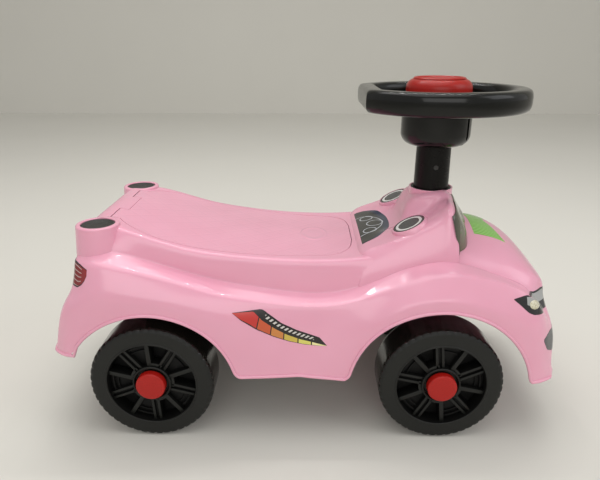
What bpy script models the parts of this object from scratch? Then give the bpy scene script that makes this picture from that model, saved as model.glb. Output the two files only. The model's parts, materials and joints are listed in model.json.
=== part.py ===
"""Kids ride-on car: a moulded body that a child sits on and pushes with the feet.

Metres, +Z up. +X is the front of the car, +Y its left side. The origin is on the
floor, under the middle of the car. The car is symmetrical about Y = 0, so most
pieces are drawn for one side and mirrored, or made once for each side by a loop.
"""

import math

import bmesh
import bpy
from mathutils import Matrix, Vector

# Clearances
GAP = 0.0003
RUNNING_GAP = 0.0005

# Layout of the running gear
WHEELBASE = 0.3165
DRAWN_WHEELBASE = 0.3165
REAR_AXLE_X = -0.172
WHEEL_FACE_Y = 0.130
ACROSS = 2 * WHEEL_FACE_Y


def along(x):
    """A place along the car as drawn, moved to suit the wheelbase.

    Places between the axles spread with it, and those ahead of the front axle shift.
    """
    share = (x - REAR_AXLE_X) / DRAWN_WHEELBASE
    return x + (WHEELBASE - DRAWN_WHEELBASE) * min(max(share, 0.0), 1.0)


def spread(points):
    """The points of a drawn outline, each moved along the car to suit the wheelbase."""
    return [(along(point[0]), *point[1:]) for point in points]


# The speakers, the start of the bonnet and the front axle, as drawn
DRAWN_PLACES = [0.1112, 0.1200, 0.1445]
SPEAKER_X, BONNET_START_X, FRONT_AXLE_X = [along(x) for x in DRAWN_PLACES]
COLUMN_X = FRONT_AXLE_X

# Wheels
WHEEL_R = 0.068
WHEEL_SHOULDER = 0.004
WHEEL_WIDTH = 0.045
WHEEL_RIM_R = 0.0485
WHEEL_HUB_R = 0.019
WHEEL_HUB_SINK = 0.0035
WHEEL_WEB = 0.006
WHEEL_WEB_DEPTH = 0.019
WHEEL_STEPS = 24
SPOKE_COUNT = 10
SPOKE_SINK = 0.005
SPOKE_WIDTH = 0.0065
TWIN_SPOKE_WIDTH = 0.0110
SPOKE_OVERLAP = 0.0015
AXLE_Z = WHEEL_R
WHEEL_INNER_Y = WHEEL_FACE_Y - WHEEL_WIDTH
HUB_HEIGHT = WHEEL_WIDTH - WHEEL_HUB_SINK
HUB_FACE_Y = WHEEL_INNER_Y + HUB_HEIGHT

# Axles and what sits on them
AXLE_R = 0.004
AXLE_BORE_R = AXLE_R + GAP
AXLE_END = 0.0045
PUSH_NUT_R = 0.009
PUSH_NUT_HEIGHT = 0.003
HUB_CAP_R = 0.016
HUB_CAP_HEIGHT = 0.0085
HUB_CAP_WALL = 0.0018
HUB_CAP_TOP = 0.0032
HUB_CAP_ROUND = 0.0025
WASHER_R = 0.010
WASHER_THICKNESS = 0.0014
AXLE_TUBE_R = 0.009
AXLE_TUBE_END_Y = WHEEL_INNER_Y - 2 * GAP - WASHER_THICKNESS

# Body shell
BODY_WALL = 0.003
ROUNDING_LEVELS = 1
SETTLING_ROUNDS = 3
REAR_ARCH_R = 0.095
REAR_ARCH_DROP = 0.0105
REAR_ARCH_Z = AXLE_Z - REAR_ARCH_DROP
FRONT_ARCH_R = 0.100
FRONT_ARCH_DROP = 0.0103
FRONT_ARCH_Z = AXLE_Z - FRONT_ARCH_DROP
FRONT_ARCH_BACK = 0.003
ARCH_STEPS = 48
PILLAR_X = -0.2265
PILLAR_Y = 0.0815
PILLAR_R = 0.0228
PILLAR_FOOT_R = 0.0246
PILLAR_HEIGHT = 0.038
PILLAR_LIFT = 0.001
PILLAR_CAP_R = 0.0174
PILLAR_CAP_SINK = 0.0008
PILLAR_CAP_HEIGHT = 0.0030

# The body's surface passes through rings that run round the car, from the shoulder of
# its top down to its hem. Each has its rear end, points along its side and its front
# end: (x, half width, z). STATIONS are the places along its side that count.
DRAWN_STATIONS = [-0.185, -0.138, -0.095, -0.050, 0.000, 0.050, 0.100, 0.150, 0.200]
STATIONS = [along(x) for x in DRAWN_STATIONS]
SHOULDER = spread([
    (-0.2370, 0.078, 0.2365), (-0.215, 0.082, 0.2355), (-0.190, 0.0905, 0.2295),
    (-0.150, 0.093, 0.2155), (-0.100, 0.0925, 0.2055), (-0.050, 0.0905, 0.1995),
    (0.000, 0.089, 0.1965), (0.045, 0.0875, 0.1975), (0.070, 0.085, 0.200),
    (0.100, 0.082, 0.203), (0.140, 0.080, 0.206), (0.165, 0.0795, 0.2035),
    (0.190, 0.082, 0.195), (0.220, 0.084, 0.185), (0.250, 0.086, 0.1765),
    (0.2660, 0.084, 0.1690),
])
BAND = spread([
    (-0.2430, 0.090, 0.2240), (-0.215, 0.0945, 0.2215), (-0.190, 0.095, 0.215),
    (-0.150, 0.0965, 0.2035), (-0.100, 0.0955, 0.192), (-0.050, 0.0935, 0.183),
    (0.000, 0.0925, 0.177), (0.045, 0.0915, 0.178), (0.070, 0.091, 0.184),
    (0.100, 0.090, 0.192), (0.140, 0.089, 0.197), (0.165, 0.0885, 0.194),
    (0.190, 0.0905, 0.187), (0.220, 0.0935, 0.179), (0.250, 0.096, 0.168),
    (0.2665, 0.097, 0.159),
])
VALLEY = spread([
    (-0.2475, 0.1030, 0.214), (-0.207, 0.0985, 0.2130), (-0.178, 0.097, 0.2025),
    (-0.149, 0.097, 0.1935), (-0.1177, 0.0965, 0.183), (-0.0748, 0.0955, 0.173),
    (-0.0076, 0.094, 0.1625), (0.0337, 0.0935, 0.1635), (0.068, 0.093, 0.1745),
    (0.0972, 0.0925, 0.188), (0.140, 0.092, 0.200), (0.165, 0.0915, 0.1975),
    (0.190, 0.0935, 0.1895), (0.220, 0.097, 0.180), (0.250, 0.100, 0.162),
    (0.2685, 0.106, 0.149),
])
CREST = spread([
    (-0.2535, 0.118, 0.203), (-0.220, 0.1185, 0.2045), (-0.190, 0.118, 0.1985),
    (-0.150, 0.118, 0.1885), (-0.120, 0.1175, 0.1795), (-0.095, 0.1165, 0.170),
    (-0.070, 0.115, 0.1635), (-0.030, 0.1135, 0.158), (0.010, 0.113, 0.1545),
    (0.040, 0.1125, 0.158), (0.070, 0.1125, 0.1685), (0.100, 0.113, 0.182),
    (0.130, 0.1135, 0.1915), (0.160, 0.1135, 0.194), (0.190, 0.114, 0.188),
    (0.220, 0.115, 0.177), (0.250, 0.113, 0.157), (0.2740, 0.115, 0.136),
])
FLANK = spread([
    (-0.2595, 0.1265, 0.174), (-0.235, 0.1285, 0.179), (-0.190, 0.1285, 0.176),
    (-0.150, 0.1285, 0.171), (-0.110, 0.1275, 0.158), (-0.080, 0.1245, 0.142),
    (-0.030, 0.1205, 0.130), (0.010, 0.120, 0.127), (0.040, 0.1205, 0.131),
    (0.070, 0.1225, 0.147), (0.100, 0.1255, 0.165), (0.140, 0.1275, 0.174),
    (0.170, 0.1275, 0.171), (0.200, 0.127, 0.160), (0.230, 0.1255, 0.145),
    (0.255, 0.123, 0.132), (0.2795, 0.121, 0.118),
])
SKIRT = spread([
    (-0.2730, 0.1295, 0.149), (-0.240, 0.1300, 0.151), (-0.190, 0.1305, 0.152),
    (-0.150, 0.1305, 0.149), (-0.110, 0.1295, 0.130), (-0.080, 0.1275, 0.110),
    (-0.030, 0.1255, 0.1005), (0.010, 0.1255, 0.099), (0.040, 0.126, 0.101),
    (0.070, 0.1275, 0.122), (0.100, 0.129, 0.145), (0.140, 0.130, 0.153),
    (0.170, 0.130, 0.150), (0.200, 0.1295, 0.137), (0.230, 0.1280, 0.115),
    (0.260, 0.126, 0.100), (0.2810, 0.125, 0.094),
])
HEM = spread([
    (-0.2845, 0.130, 0.1035), (-0.250, 0.1305, 0.101), (-0.200, 0.130, 0.092),
    (-0.120, 0.130, 0.078), (-0.080, 0.129, 0.0765), (-0.010, 0.1285, 0.0805),
    (0.037, 0.1285, 0.0745), (0.100, 0.1295, 0.072), (0.200, 0.130, 0.0705),
    (0.255, 0.128, 0.0705), (0.2849, 0.127, 0.073),
])
# Each ring with its corners' radius, and how far its rear and front ends bow out
RINGS = [
    (SHOULDER, 0.022, 0.000, 0.003), (BAND, 0.028, 0.001, 0.004),
    (VALLEY, 0.030, 0.002, 0.005), (CREST, 0.031, 0.003, 0.006),
    (FLANK, 0.032, 0.004, 0.008), (SKIRT, 0.032, 0.004, 0.009), (HEM, 0.032, 0.004, 0.010),
]
VALLEY_CREASE = 0.30
CREST_CREASE = 0.20

# The centre line of the top, from the tail over the seat and the bonnet: (x, z)
CENTRE_LINE = spread([
    (-0.2370, 0.2370), (-0.2095, 0.2370), (-0.190, 0.2315), (-0.150, 0.2185),
    (-0.100, 0.2085), (-0.050, 0.202), (0.000, 0.199), (0.045, 0.1995),
    (0.070, 0.203), (0.100, 0.210), (0.140, 0.217), (0.165, 0.2215),
    (0.184, 0.2230), (0.200, 0.2200), (0.220, 0.2125), (0.2345, 0.2045),
    (0.250, 0.1925), (0.2670, 0.1745),
])
PILLAR_TOP_Z = CENTRE_LINE[0][1] + PILLAR_LIFT
PILLAR_FOOT_Z = PILLAR_TOP_Z - PILLAR_HEIGHT
SEAT_CROWN_POWER = 4.0
BONNET_CROWN_POWER = 2.0

# Seat lid, its outline at positive Y: (x, y)
LID_REAR_X = -0.2185
LID_OUTLINE = spread([
    (LID_REAR_X, 0.0480), (-0.2110, 0.0560), (-0.2030, 0.0655),
    (-0.1925, 0.0740), (-0.1725, 0.0830), (-0.1520, 0.0850), (-0.1182, 0.0840),
    (-0.0752, 0.0815), (-0.0101, 0.0745), (0.0150, 0.0715), (0.0275, 0.0690),
    (0.0385, 0.0610), (0.0465, 0.0480), (0.0500, 0.0270),
])
LID_GAP = 0.0008
LID_WALL = 0.003

# Lid hinge: an axis across the car, just under the skin at the lid's rear edge
HINGE_BEHIND_LID = 0.0025
HINGE_DEPTH = 0.0037
HINGE_X = LID_REAR_X + HINGE_BEHIND_LID
HINGE_Z = CENTRE_LINE[1][1] - HINGE_DEPTH
HINGE_TAB_HALF = 0.0245
HINGE_TAB_REACH = 0.0060
HINGE_LID_REACH = 0.0059
HINGE_SWEEP_HALF = 0.0580
KNUCKLE_R = 0.0033
EAR_LENGTH = 0.0090
HINGE_PIN_R = 0.0015
HINGE_PIN_HALF = 0.0345

# Storage box under the lid
TUB_BEHIND_HINGE = 0.0200
TUB_REAR_X = HINGE_X + TUB_BEHIND_HINGE
TUB_FLANGE = 0.0070
TUB_INSET = 0.0085
TUB_WALL = 0.0025
TUB_ABOVE_AXLE = 0.0190
TUB_FLOOR_Z = AXLE_Z + TUB_ABOVE_AXLE
TUB_LEDGE = 0.0025

# Cowl in front of the rider: rows from the seat to the bonnet, (x, z)
COWL_TROUGH = spread([
    (0.058, 0.165), (0.063, 0.2020), (0.083, 0.2120), (0.115, 0.2240),
    (0.143, 0.2330), (0.153, 0.2550), (0.165, 0.2555), (0.177, 0.2400),
    (0.186, 0.2190), (0.188, 0.165),
])
COWL_WING = spread([
    (0.064, 0.165), (0.073, 0.2030), (0.0810, 0.2175), (0.115, 0.2305),
    (0.132, 0.2400), (0.143, 0.2570), (0.153, 0.2560), (0.163, 0.2380),
    (0.171, 0.2080), (0.172, 0.165),
])
COWL_EDGE = spread([
    (0.066, 0.165), (0.074, 0.2010), (0.0810, 0.2140), (0.115, 0.2280),
    (0.133, 0.2370), (0.143, 0.2480), (0.150, 0.2460), (0.157, 0.2300),
    (0.163, 0.2080), (0.164, 0.165),
])
# Each column: its rows, half width, shift of the front rows in x, drop towards the foot
COWL_COLUMNS = [
    (COWL_TROUGH, 0.000, 0.000, 0.0), (COWL_TROUGH, 0.033, -0.003, 0.0),
    (COWL_WING, 0.041, 0.002, 0.0), (COWL_WING, 0.065, -0.003, 0.0),
    (COWL_EDGE, 0.0790, 0.000, 0.0), (COWL_EDGE, 0.0905, -0.001, 0.45),
    (COWL_EDGE, 0.0945, -0.001, 1.0),
]
COWL_FOOT_Z = 0.165
COWL_HOLLOW_FOOT_Z = 0.120
TOWER_R = 0.0252
TOWER_LIFT = 0.0020
TOWER_TOP_Z = max(z for x, z in COWL_TROUGH) + TOWER_LIFT
TOWER_ABOVE_AXLE = 0.0840
TOWER_FOOT_Z = AXLE_Z + TOWER_ABOVE_AXLE

# Speakers on the cowl's wings
SPEAKER_Y = 0.0575
SPEAKER_Z = 0.2290
SPEAKER_TILT = math.radians(26.0)
SPEAKER_R = 0.0178
SPEAKER_THICKNESS = 0.0016
POD_R = 0.0225
POD_HEIGHT = 0.0022
POD_DEPTH = 0.0080

# Windscreen: its outline seen from the side, (x, z)
SCREEN_OUTLINE = spread([
    (0.1500, 0.2430), (0.1550, 0.2490), (0.210, 0.2515), (0.210, 0.190), (0.1600, 0.190),
])
SCREEN_HALF = 0.0860
SCREEN_THICKNESS = 0.0010

# Steering column and its bearings
COLUMN_R = 0.0203
COLUMN_WALL = 0.0028
COLUMN_ABOVE_AXLE = 0.0370
COLUMN_FOOT_Z = AXLE_Z + COLUMN_ABOVE_AXLE
BUSH_GAP = 0.0003
BUSH_WALL = 0.0014
BUSH_LENGTH = 0.0140
BUSH_FLANGE_R = 0.0235
BUSH_FLANGE = 0.0013
BUSH_RECESS = 0.0004
YOKE_R = 0.0262
YOKE_BELOW_AXLE = 0.0130
YOKE_FOOT_Z = AXLE_Z - YOKE_BELOW_AXLE
YOKE_RIB_HALF = 0.0040
YOKE_RIB_REACH = 0.0600
YOKE_RIB_HEIGHT = 0.0270
YOKE_RIB_TOP_Z = AXLE_Z + YOKE_RIB_HEIGHT
PIN_R = 0.0025
PIN_LIFT = 0.0180
PIN_Z = COLUMN_FOOT_Z + PIN_LIFT
PIN_PROUD = 0.0015

# Steering hub and wheel
CUP_R = 0.0392
CUP_FOOT_Z = 0.3090
CUP_HEIGHT = 0.0360
CUP_TOP_Z = CUP_FOOT_Z + CUP_HEIGHT
CUP_WALL = 0.0025
CUP_FLOOR = 0.0035
CUP_ROUND = 0.0130
CUP_NECK_R = 0.0250
SPIGOT_LENGTH = 0.0370
SPIGOT_FOOT_Z = CUP_FOOT_Z - SPIGOT_LENGTH
PINCH_SCREW_Z = CUP_FOOT_Z - 0.65 * SPIGOT_LENGTH
CUP_BOSS_RADIUS = 0.0290
CUP_BOSS_R = 0.0045
HUB_SCREW_COUNT = 3
SOUND_BOX_R = 0.0225
RIM_HALF_LENGTH = 0.100
RIM_HALF_WIDTH = 0.094
RIM_FLAT_X = 0.086
RIM_SECTION_WIDTH = 0.021
RIM_SECTION_POINTS = 10
RIM_SQUARENESS = 3.0
RIM_LIFT = 0.0040
RIM_HEIGHT = 0.0245
RIM_FOOT_Z = CUP_TOP_Z + RIM_LIFT
RIM_TOP_Z = RIM_FOOT_Z + RIM_HEIGHT
RIM_STEPS = 28
PLATE_R = 0.0415
PLATE_FLOOR = 0.0065
PLATE_CHAMFER = 0.0010
PLATE_HEIGHT = 0.0212
PLATE_TOP_Z = CUP_TOP_Z + GAP + PLATE_HEIGHT
SPOKE_HALF = 0.0135
LOWER_SPOKE_HALF = 0.0170
SPOKE_LIFT = 0.0020
SPOKE_HEIGHT = 0.0110
SPOKE_FOOT_Z = RIM_FOOT_Z + SPOKE_LIFT
SPOKE_TOP_Z = SPOKE_FOOT_Z + SPOKE_HEIGHT

# Horn button
BUTTON_R = 0.0363
BUTTON_GAP = 0.0006
BUTTON_SKIRT = 0.0020
BUTTON_CLEARANCE = 0.0077
BUTTON_HEIGHT = 0.0240
BUTTON_FOOT_Z = CUP_TOP_Z + GAP + PLATE_FLOOR + BUTTON_CLEARANCE
BUTTON_TOP_Z = BUTTON_FOOT_Z + BUTTON_HEIGHT
BUTTON_RING_R = 0.0275
BUTTON_RING_WIDTH = 0.0030
BUTTON_RING_HEIGHT = 0.0020
BUTTON_RING_SLOPE = 0.0006
BUTTON_ROUND = 0.0110
BUTTON_CEILING = 0.0040
STEM_R = 0.0050
STEM_REACH = 0.0100
STEM_FOOT_Z = BUTTON_FOOT_Z - STEM_REACH
SPRING_R = 0.0078
SPRING_WIRE_R = 0.0005
SPRING_TURNS = 4
SPRING_STEPS = 8

# Screws
SCREW_HEAD_R = 0.0030
SCREW_HEAD_HEIGHT = 0.0018
SCREW_SHANK_R = 0.0012
SCREW_HOLE_R = SCREW_SHANK_R + GAP
SCREW_STEPS = 8
COLUMN_SCREW_LENGTH = 0.0040
HUB_SCREW_LENGTH = 0.0200

# Rear axle brackets
BRACKET_Y = 0.0560
BRACKET_THICKNESS = 0.0040
BRACKET_HALF = 0.0170
BRACKET_FOOT = 0.0150
BRACKET_FOOT_THICKNESS = 0.0030
BRACKET_BELOW_AXLE = 0.0140
BRACKET_SCREW_X = 0.0110
BRACKET_BOSS_R = 0.0040
BRACKET_BOSS_HEIGHT = 0.0050
TUB_SCREWS = spread([(0.0545, 0.025), (0.0000, 0.0785)])
TUB_SCREW_BITE = 0.0016


def clear_scene():
    for obj in list(bpy.data.objects):
        bpy.data.objects.remove(obj)


def add_collection(name, hidden=False):
    collection = bpy.data.collections.new(name)
    bpy.context.scene.collection.children.link(collection)
    collection.hide_render = hidden
    return collection


def finish(name, colour, roughness, metallic=0.0):
    material = bpy.data.materials.new(name)
    material.use_nodes = True
    shader = material.node_tree.nodes["Principled BSDF"]
    shader.inputs["Base Color"].default_value = (*colour, 1.0)
    shader.inputs["Roughness"].default_value = roughness
    shader.inputs["Metallic"].default_value = metallic
    return material


clear_scene()
CAR = add_collection("ride_on_car")
CUTTERS = add_collection("cutters", hidden=True)
PINK = finish("pink_plastic", (0.77, 0.36, 0.47), 0.22)
BLACK = finish("black_plastic", (0.022, 0.022, 0.020), 0.30)
RED = finish("red_plastic", (0.60, 0.018, 0.018), 0.28)
STEEL = finish("zinc_steel", (0.55, 0.55, 0.56), 0.32, 1.0)
MESH = finish("dark_mesh", (0.012, 0.012, 0.012), 0.55)
SMOKED = finish("smoked_plastic", (0.030, 0.032, 0.030), 0.12)

# Turns a piece that is drawn along Z to each axis, and the XY plane to XZ.
ALONG = {
    "X": Matrix.Rotation(math.radians(90), 4, "Y"),
    "Y": Matrix.Rotation(math.radians(-90), 4, "X"),
    "Z": Matrix.Identity(4),
}
UPRIGHT = Matrix.Rotation(math.radians(90), 4, "X")
HALF_TURN = Matrix.Rotation(math.radians(180), 4, "X")


def add_object(name, mesh):
    obj = bpy.data.objects.new(name, mesh)
    CAR.objects.link(obj)
    return obj


def mesh_from(bm, name):
    bmesh.ops.recalc_face_normals(bm, faces=bm.faces)
    mesh = bpy.data.meshes.new(name)
    bm.to_mesh(mesh)
    bm.free()
    return mesh


def freeze(obj, weld=0.0):
    """The object as its modifiers leave it, with its transform in its mesh.

    With weld, points closer than that are joined, and all its faces turned outwards.
    """
    bpy.context.view_layer.update()
    graph = bpy.context.evaluated_depsgraph_get()
    mesh = bpy.data.meshes.new_from_object(obj.evaluated_get(graph))
    mesh.transform(obj.matrix_world)
    name = obj.name
    bpy.data.objects.remove(obj)
    if weld:
        bm = bmesh.new()
        bm.from_mesh(mesh)
        bmesh.ops.remove_doubles(bm, verts=bm.verts, dist=weld)
        bmesh.ops.recalc_face_normals(bm, faces=bm.faces)
        bm.to_mesh(mesh)
        bm.free()
    return add_object(name, mesh)


def boolean(obj, other, operation="DIFFERENCE"):
    """Cuts other from obj, or joins or intersects them. The other becomes a cutter."""
    if other.name in CAR.objects:
        CAR.objects.unlink(other)
        CUTTERS.objects.link(other)
    other.hide_render = True
    other.display_type = "WIRE"
    modifier = obj.modifiers.new(operation.lower(), "BOOLEAN")
    modifier.operation = operation
    modifier.solver = "EXACT"
    modifier.object = other


def finished(obj, material, angle=35.0):
    """The object frozen, with its material, shaded smooth up to the angle."""
    obj = freeze(obj)
    obj.data.materials.clear()
    obj.data.materials.append(material)
    obj.data.shade_smooth()
    obj.data.set_sharp_from_angle(angle=math.radians(angle))
    return obj


def origin_at(obj, point):
    """Moves the object's origin to the point and leaves its shape where it is."""
    obj.data.transform(Matrix.Translation(-Vector(point)))
    obj.location = Vector(point)
    return obj


def box(name, low, high):
    low, high = Vector(low), Vector(high)
    bm = bmesh.new()
    bmesh.ops.create_cube(bm, size=1.0)
    bmesh.ops.scale(bm, vec=high - low, verts=bm.verts)
    bmesh.ops.translate(bm, vec=(low + high) / 2, verts=bm.verts)
    return add_object(name, mesh_from(bm, name))


def rod(name, radius, start, end, centre=(0, 0, 0), axis="Z", steps=24, foot_radius=None):
    """A cylinder from start to end along an axis that passes through centre.

    With a foot radius it is a cone, with that radius at its start.
    """
    bm = bmesh.new()
    bmesh.ops.create_cone(
        bm, cap_ends=True, segments=steps, radius1=foot_radius or radius,
        radius2=radius, depth=end - start,
    )
    bmesh.ops.translate(bm, vec=(0, 0, (start + end) / 2), verts=bm.verts)
    bmesh.ops.transform(bm, matrix=ALONG[axis], verts=bm.verts)
    bmesh.ops.translate(bm, vec=centre, verts=bm.verts)
    return add_object(name, mesh_from(bm, name))


def turned(name, profile, centre=(0, 0, 0), axis="Z", steps=24, flip=False):
    """A profile of (radius, height) turned about an axis through centre.

    It runs down its outer side. It closes on itself unless it starts and ends on the
    axis. With flip, its top points towards the axis's low end.
    """
    bm = bmesh.new()
    points = [bm.verts.new((radius, 0.0, height)) for radius, height in profile]
    for start, end in zip(points, points[1:]):
        bm.edges.new((start, end))
    if profile[0][0] > 0.0:
        bm.edges.new((points[-1], points[0]))
    mesh = bpy.data.meshes.new(name)
    bm.to_mesh(mesh)
    bm.free()
    obj = add_object(name, mesh)
    screw = obj.modifiers.new("turn", "SCREW")
    screw.steps = steps
    screw.render_steps = steps
    screw.use_merge_vertices = True
    screw.merge_threshold = 0.00001
    turn = ALONG[axis] @ (HALF_TURN if flip else Matrix.Identity(4))
    obj.matrix_world = Matrix.Translation(Vector(centre)) @ turn
    return freeze(obj)


def extruded(name, outline, low, high, upright=False):
    """A flat outline of points extruded along Z, or along Y if it stands upright."""
    curve = bpy.data.curves.new(name, "CURVE")
    curve.dimensions = "2D"
    curve.fill_mode = "BOTH"
    curve.extrude = (high - low) / 2
    spline = curve.splines.new("POLY")
    spline.points.add(len(outline) - 1)
    for point, (u, v) in zip(spline.points, outline):
        point.co = (u, v, 0.0, 1.0)
    spline.use_cyclic_u = True
    obj = bpy.data.objects.new(name, curve)
    CAR.objects.link(obj)
    middle = (low + high) / 2
    if upright:
        obj.matrix_world = Matrix.Translation((0, middle, 0)) @ UPRIGHT
    else:
        obj.matrix_world = Matrix.Translation((0, 0, middle))
    return freeze(obj, weld=0.00001)


def both_sides(half):
    """A symmetrical outline from its points at positive Y, in order along X."""
    return half + [(x, -y) for x, y in reversed(half)]


def grown(outline, distance):
    """A closed outline with each of its sides moved outwards by the distance."""
    count = len(outline)
    area = sum(
        outline[i - 1][0] * outline[i][1] - outline[i][0] * outline[i - 1][1]
        for i in range(count)
    )
    turn = math.copysign(1.0, area)
    moved = []
    for i in range(count):
        here, before = Vector(outline[i]), Vector(outline[i - 1])
        after = Vector(outline[(i + 1) % count])
        one, two = (here - before).normalized(), (after - here).normalized()
        side = Vector((one.y, -one.x)) * turn
        normal = (side + Vector((two.y, -two.x)) * turn).normalized()
        moved.append(tuple(here + normal * distance / max(normal.dot(side), 0.5)))
    return moved


def pan_screw(name, point, length, axis="Z", flip=False):
    """A screw whose head stands on the point and whose shank runs the other way."""
    profile = [
        (0.0, SCREW_HEAD_HEIGHT), (SCREW_HEAD_R, SCREW_HEAD_HEIGHT), (SCREW_HEAD_R, 0.0),
        (SCREW_SHANK_R, 0.0), (SCREW_SHANK_R, -length), (0.0, -length),
    ]
    screw = turned(name, profile, point, axis, SCREW_STEPS, flip)
    return finished(screw, STEEL)


def at(points, x, column):
    """The value in a column of the points, between the two on either side of x."""
    for low, high in zip(points, points[1:]):
        if x <= high[0]:
            share = max((x - low[0]) / (high[0] - low[0]), 0.0)
            return low[column] + share * (high[column] - low[column])
    return points[-1][column]


def end_points(ring, corner_r, bow, end):
    """Three points of a ring's rear or front end: middle, start and peak of its corner."""
    x, half_width, z = ring[0] if end < 0 else ring[-1]
    straight = half_width - corner_r
    cut_in = corner_r * (1 - math.sqrt(0.5))
    return [
        Vector((x, 0.0, z)), Vector((x - end * bow, -straight, z)),
        Vector((x - end * (bow + cut_in), cut_in - half_width, z)),
    ]


def ring_points(ring, corner_r, rear_bow, front_bow):
    """From the middle of the rear, round the right side, to the middle of the front."""
    rear = end_points(ring, corner_r, rear_bow, -1)
    front = end_points(ring, corner_r, front_bow, 1)
    start = ring[0][0] + rear_bow + corner_r
    stop = ring[-1][0] - front_bow - corner_r
    places = [start] + STATIONS + [stop]
    side = [Vector((x, -at(ring, x, 1), at(ring, x, 2))) for x in places]
    return rear + side + front[::-1]


def top_point(shoulder, share):
    """A point of the top surface at a share of the shoulder's half width."""
    power = BONNET_CROWN_POWER if shoulder.x > BONNET_START_X else SEAT_CROWN_POWER
    rise = at(CENTRE_LINE, shoulder.x, 1) - shoulder.z
    z = shoulder.z + rise * (1 - share ** power)
    return Vector((shoulder.x, shoulder.y * share, z))


def body_cage():
    """The right half of the body as a coarse cage, open at Y = 0 and below."""
    bm = bmesh.new()
    crease = bm.edges.layers.float.new("crease_edge")
    rows = [[bm.verts.new(point) for point in ring_points(*ring)] for ring in RINGS]
    for upper, lower in zip(rows, rows[1:]):
        for i in range(len(upper) - 1):
            bm.faces.new((upper[i], upper[i + 1], lower[i + 1], lower[i]))
    for row, weight in ((rows[2], VALLEY_CREASE), (rows[3], CREST_CREASE)):
        for start, end in zip(row, row[1:]):
            bm.edges.get((start, end))[crease] = weight
    ring = rows[0]
    side = ring[2:-2]
    columns = []
    for i in range(2):
        share = ring[i].co.y / ring[2].co.y
        middle = [bm.verts.new(top_point(vert.co, share)) for vert in side[1:-1]]
        columns.append([ring[i]] + middle + [ring[-1 - i]])
    columns.append(side)
    for inner, outer in zip(columns, columns[1:]):
        for j in range(len(inner) - 1):
            bm.faces.new((inner[j], inner[j + 1], outer[j + 1], outer[j]))
    return mesh_from(bm, "body_cage")


def mirrored(obj):
    mirror = obj.modifiers.new("mirror", "MIRROR")
    mirror.use_axis = (False, True, False)
    mirror.merge_threshold = 0.0001
    return obj


def rounded(obj):
    """Mirrors a cage across Y = 0 and rounds it.

    The cage then moves until its round surface passes through where its points were.
    """
    mirrored(obj)
    rounding = obj.modifiers.new("rounding", "SUBSURF")
    rounding.levels = ROUNDING_LEVELS
    rounding.render_levels = ROUNDING_LEVELS
    targets = [vert.co.copy() for vert in obj.data.vertices]
    for _ in range(SETTLING_ROUNDS):
        bpy.context.view_layer.update()
        graph = bpy.context.evaluated_depsgraph_get()
        surface = obj.evaluated_get(graph).data
        misses = [target - surface.vertices[i].co for i, target in enumerate(targets)]
        for vert, miss in zip(obj.data.vertices, misses):
            vert.co += miss
        obj.data.update()
    return obj


def offset_by(obj, distance):
    """Moves the object's surface along its normals, and so grows or shrinks it."""
    if distance:
        offset = obj.modifiers.new("offset", "DISPLACE")
        offset.strength = distance
        offset.mid_level = 0.0
    return obj


def body_lump(name, offset=0.0, plain=False):
    """A closed solid that fills the body's surface down to the floor.

    If plain, its surface is the flat-sided cage, as inside the walls.
    """
    obj = add_object(name, body_cage())
    obj = freeze(offset_by(mirrored(obj) if plain else rounded(obj), offset))
    bm = bmesh.new()
    bm.from_mesh(obj.data)
    rim = [edge for edge in bm.edges if edge.is_boundary]
    for item in bmesh.ops.extrude_edge_only(bm, edges=rim)["geom"]:
        if isinstance(item, bmesh.types.BMVert):
            item.co.z = 0.0
    rim = [edge for edge in bm.edges if edge.is_boundary]
    bmesh.ops.holes_fill(bm, edges=rim)
    bmesh.ops.recalc_face_normals(bm, faces=bm.faces)
    bm.to_mesh(obj.data)
    bm.free()
    return obj


def cowl_point(row, column, inset):
    points, half_width, shift, drop = column
    x, z = points[row]
    last = len(points) - 1
    if row in (0, last) or drop >= 1.0:
        z = COWL_HOLLOW_FOOT_Z if inset else COWL_FOOT_Z
    else:
        z += (COWL_FOOT_Z - z) * drop - inset
    if row <= 1:
        x += inset
    elif row >= last - 3:
        x += shift - inset
    y = half_width - inset if half_width else 0.0
    return Vector((x, -y, z))


def cowl_lump(name, inset=0.0):
    """The raised cowl as a closed solid. With an inset it is smaller, and left plain."""
    bm = bmesh.new()
    rows = []
    for row in range(len(COWL_TROUGH)):
        line = [cowl_point(row, column, inset) for column in COWL_COLUMNS]
        rows.append([bm.verts.new(point) for point in line])
    for one, two in zip(rows, rows[1:]):
        for j in range(len(one) - 1):
            bm.faces.new((one[j], one[j + 1], two[j + 1], two[j]))
    hem = [row[-1] for row in rows]
    foot = bm.faces.new(rows[0][:-1] + hem + list(reversed(rows[-1][:-1])))
    crease = bm.edges.layers.float.new("crease_edge")
    for edge in foot.edges:
        edge[crease] = 1.0
    obj = add_object(name, mesh_from(bm, name))
    return mirrored(obj) if inset else rounded(obj)


def speaker_frame(side):
    """The place of a speaker: its Z is square to the wing and points to the rider."""
    centre = Vector((SPEAKER_X, side * SPEAKER_Y, SPEAKER_Z))
    return Matrix.Translation(centre) @ Matrix.Rotation(-SPEAKER_TILT, 4, "Y")


def placed(obj, frame):
    obj.data.transform(frame)
    return obj


def hinge_rod(name, radius, half_length):
    centre = (HINGE_X, 0, HINGE_Z)
    return rod(name, radius, -half_length, half_length, centre, "Y", 24)


def lid_opening():
    """What the lid and its swing need clear in the body, without the hinge tab."""
    outline = grown(both_sides(LID_OUTLINE), LID_GAP)
    opening = extruded("lid_opening", outline, TUB_FLOOR_Z, PILLAR_TOP_Z + BODY_WALL)
    boolean(opening, hinge_rod("lid_swing", HINGE_LID_REACH + LID_GAP, HINGE_SWEEP_HALF), "UNION")
    boolean(opening, hinge_tab("body_tab", HINGE_TAB_REACH, HINGE_TAB_HALF))
    return freeze(opening)


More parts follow.
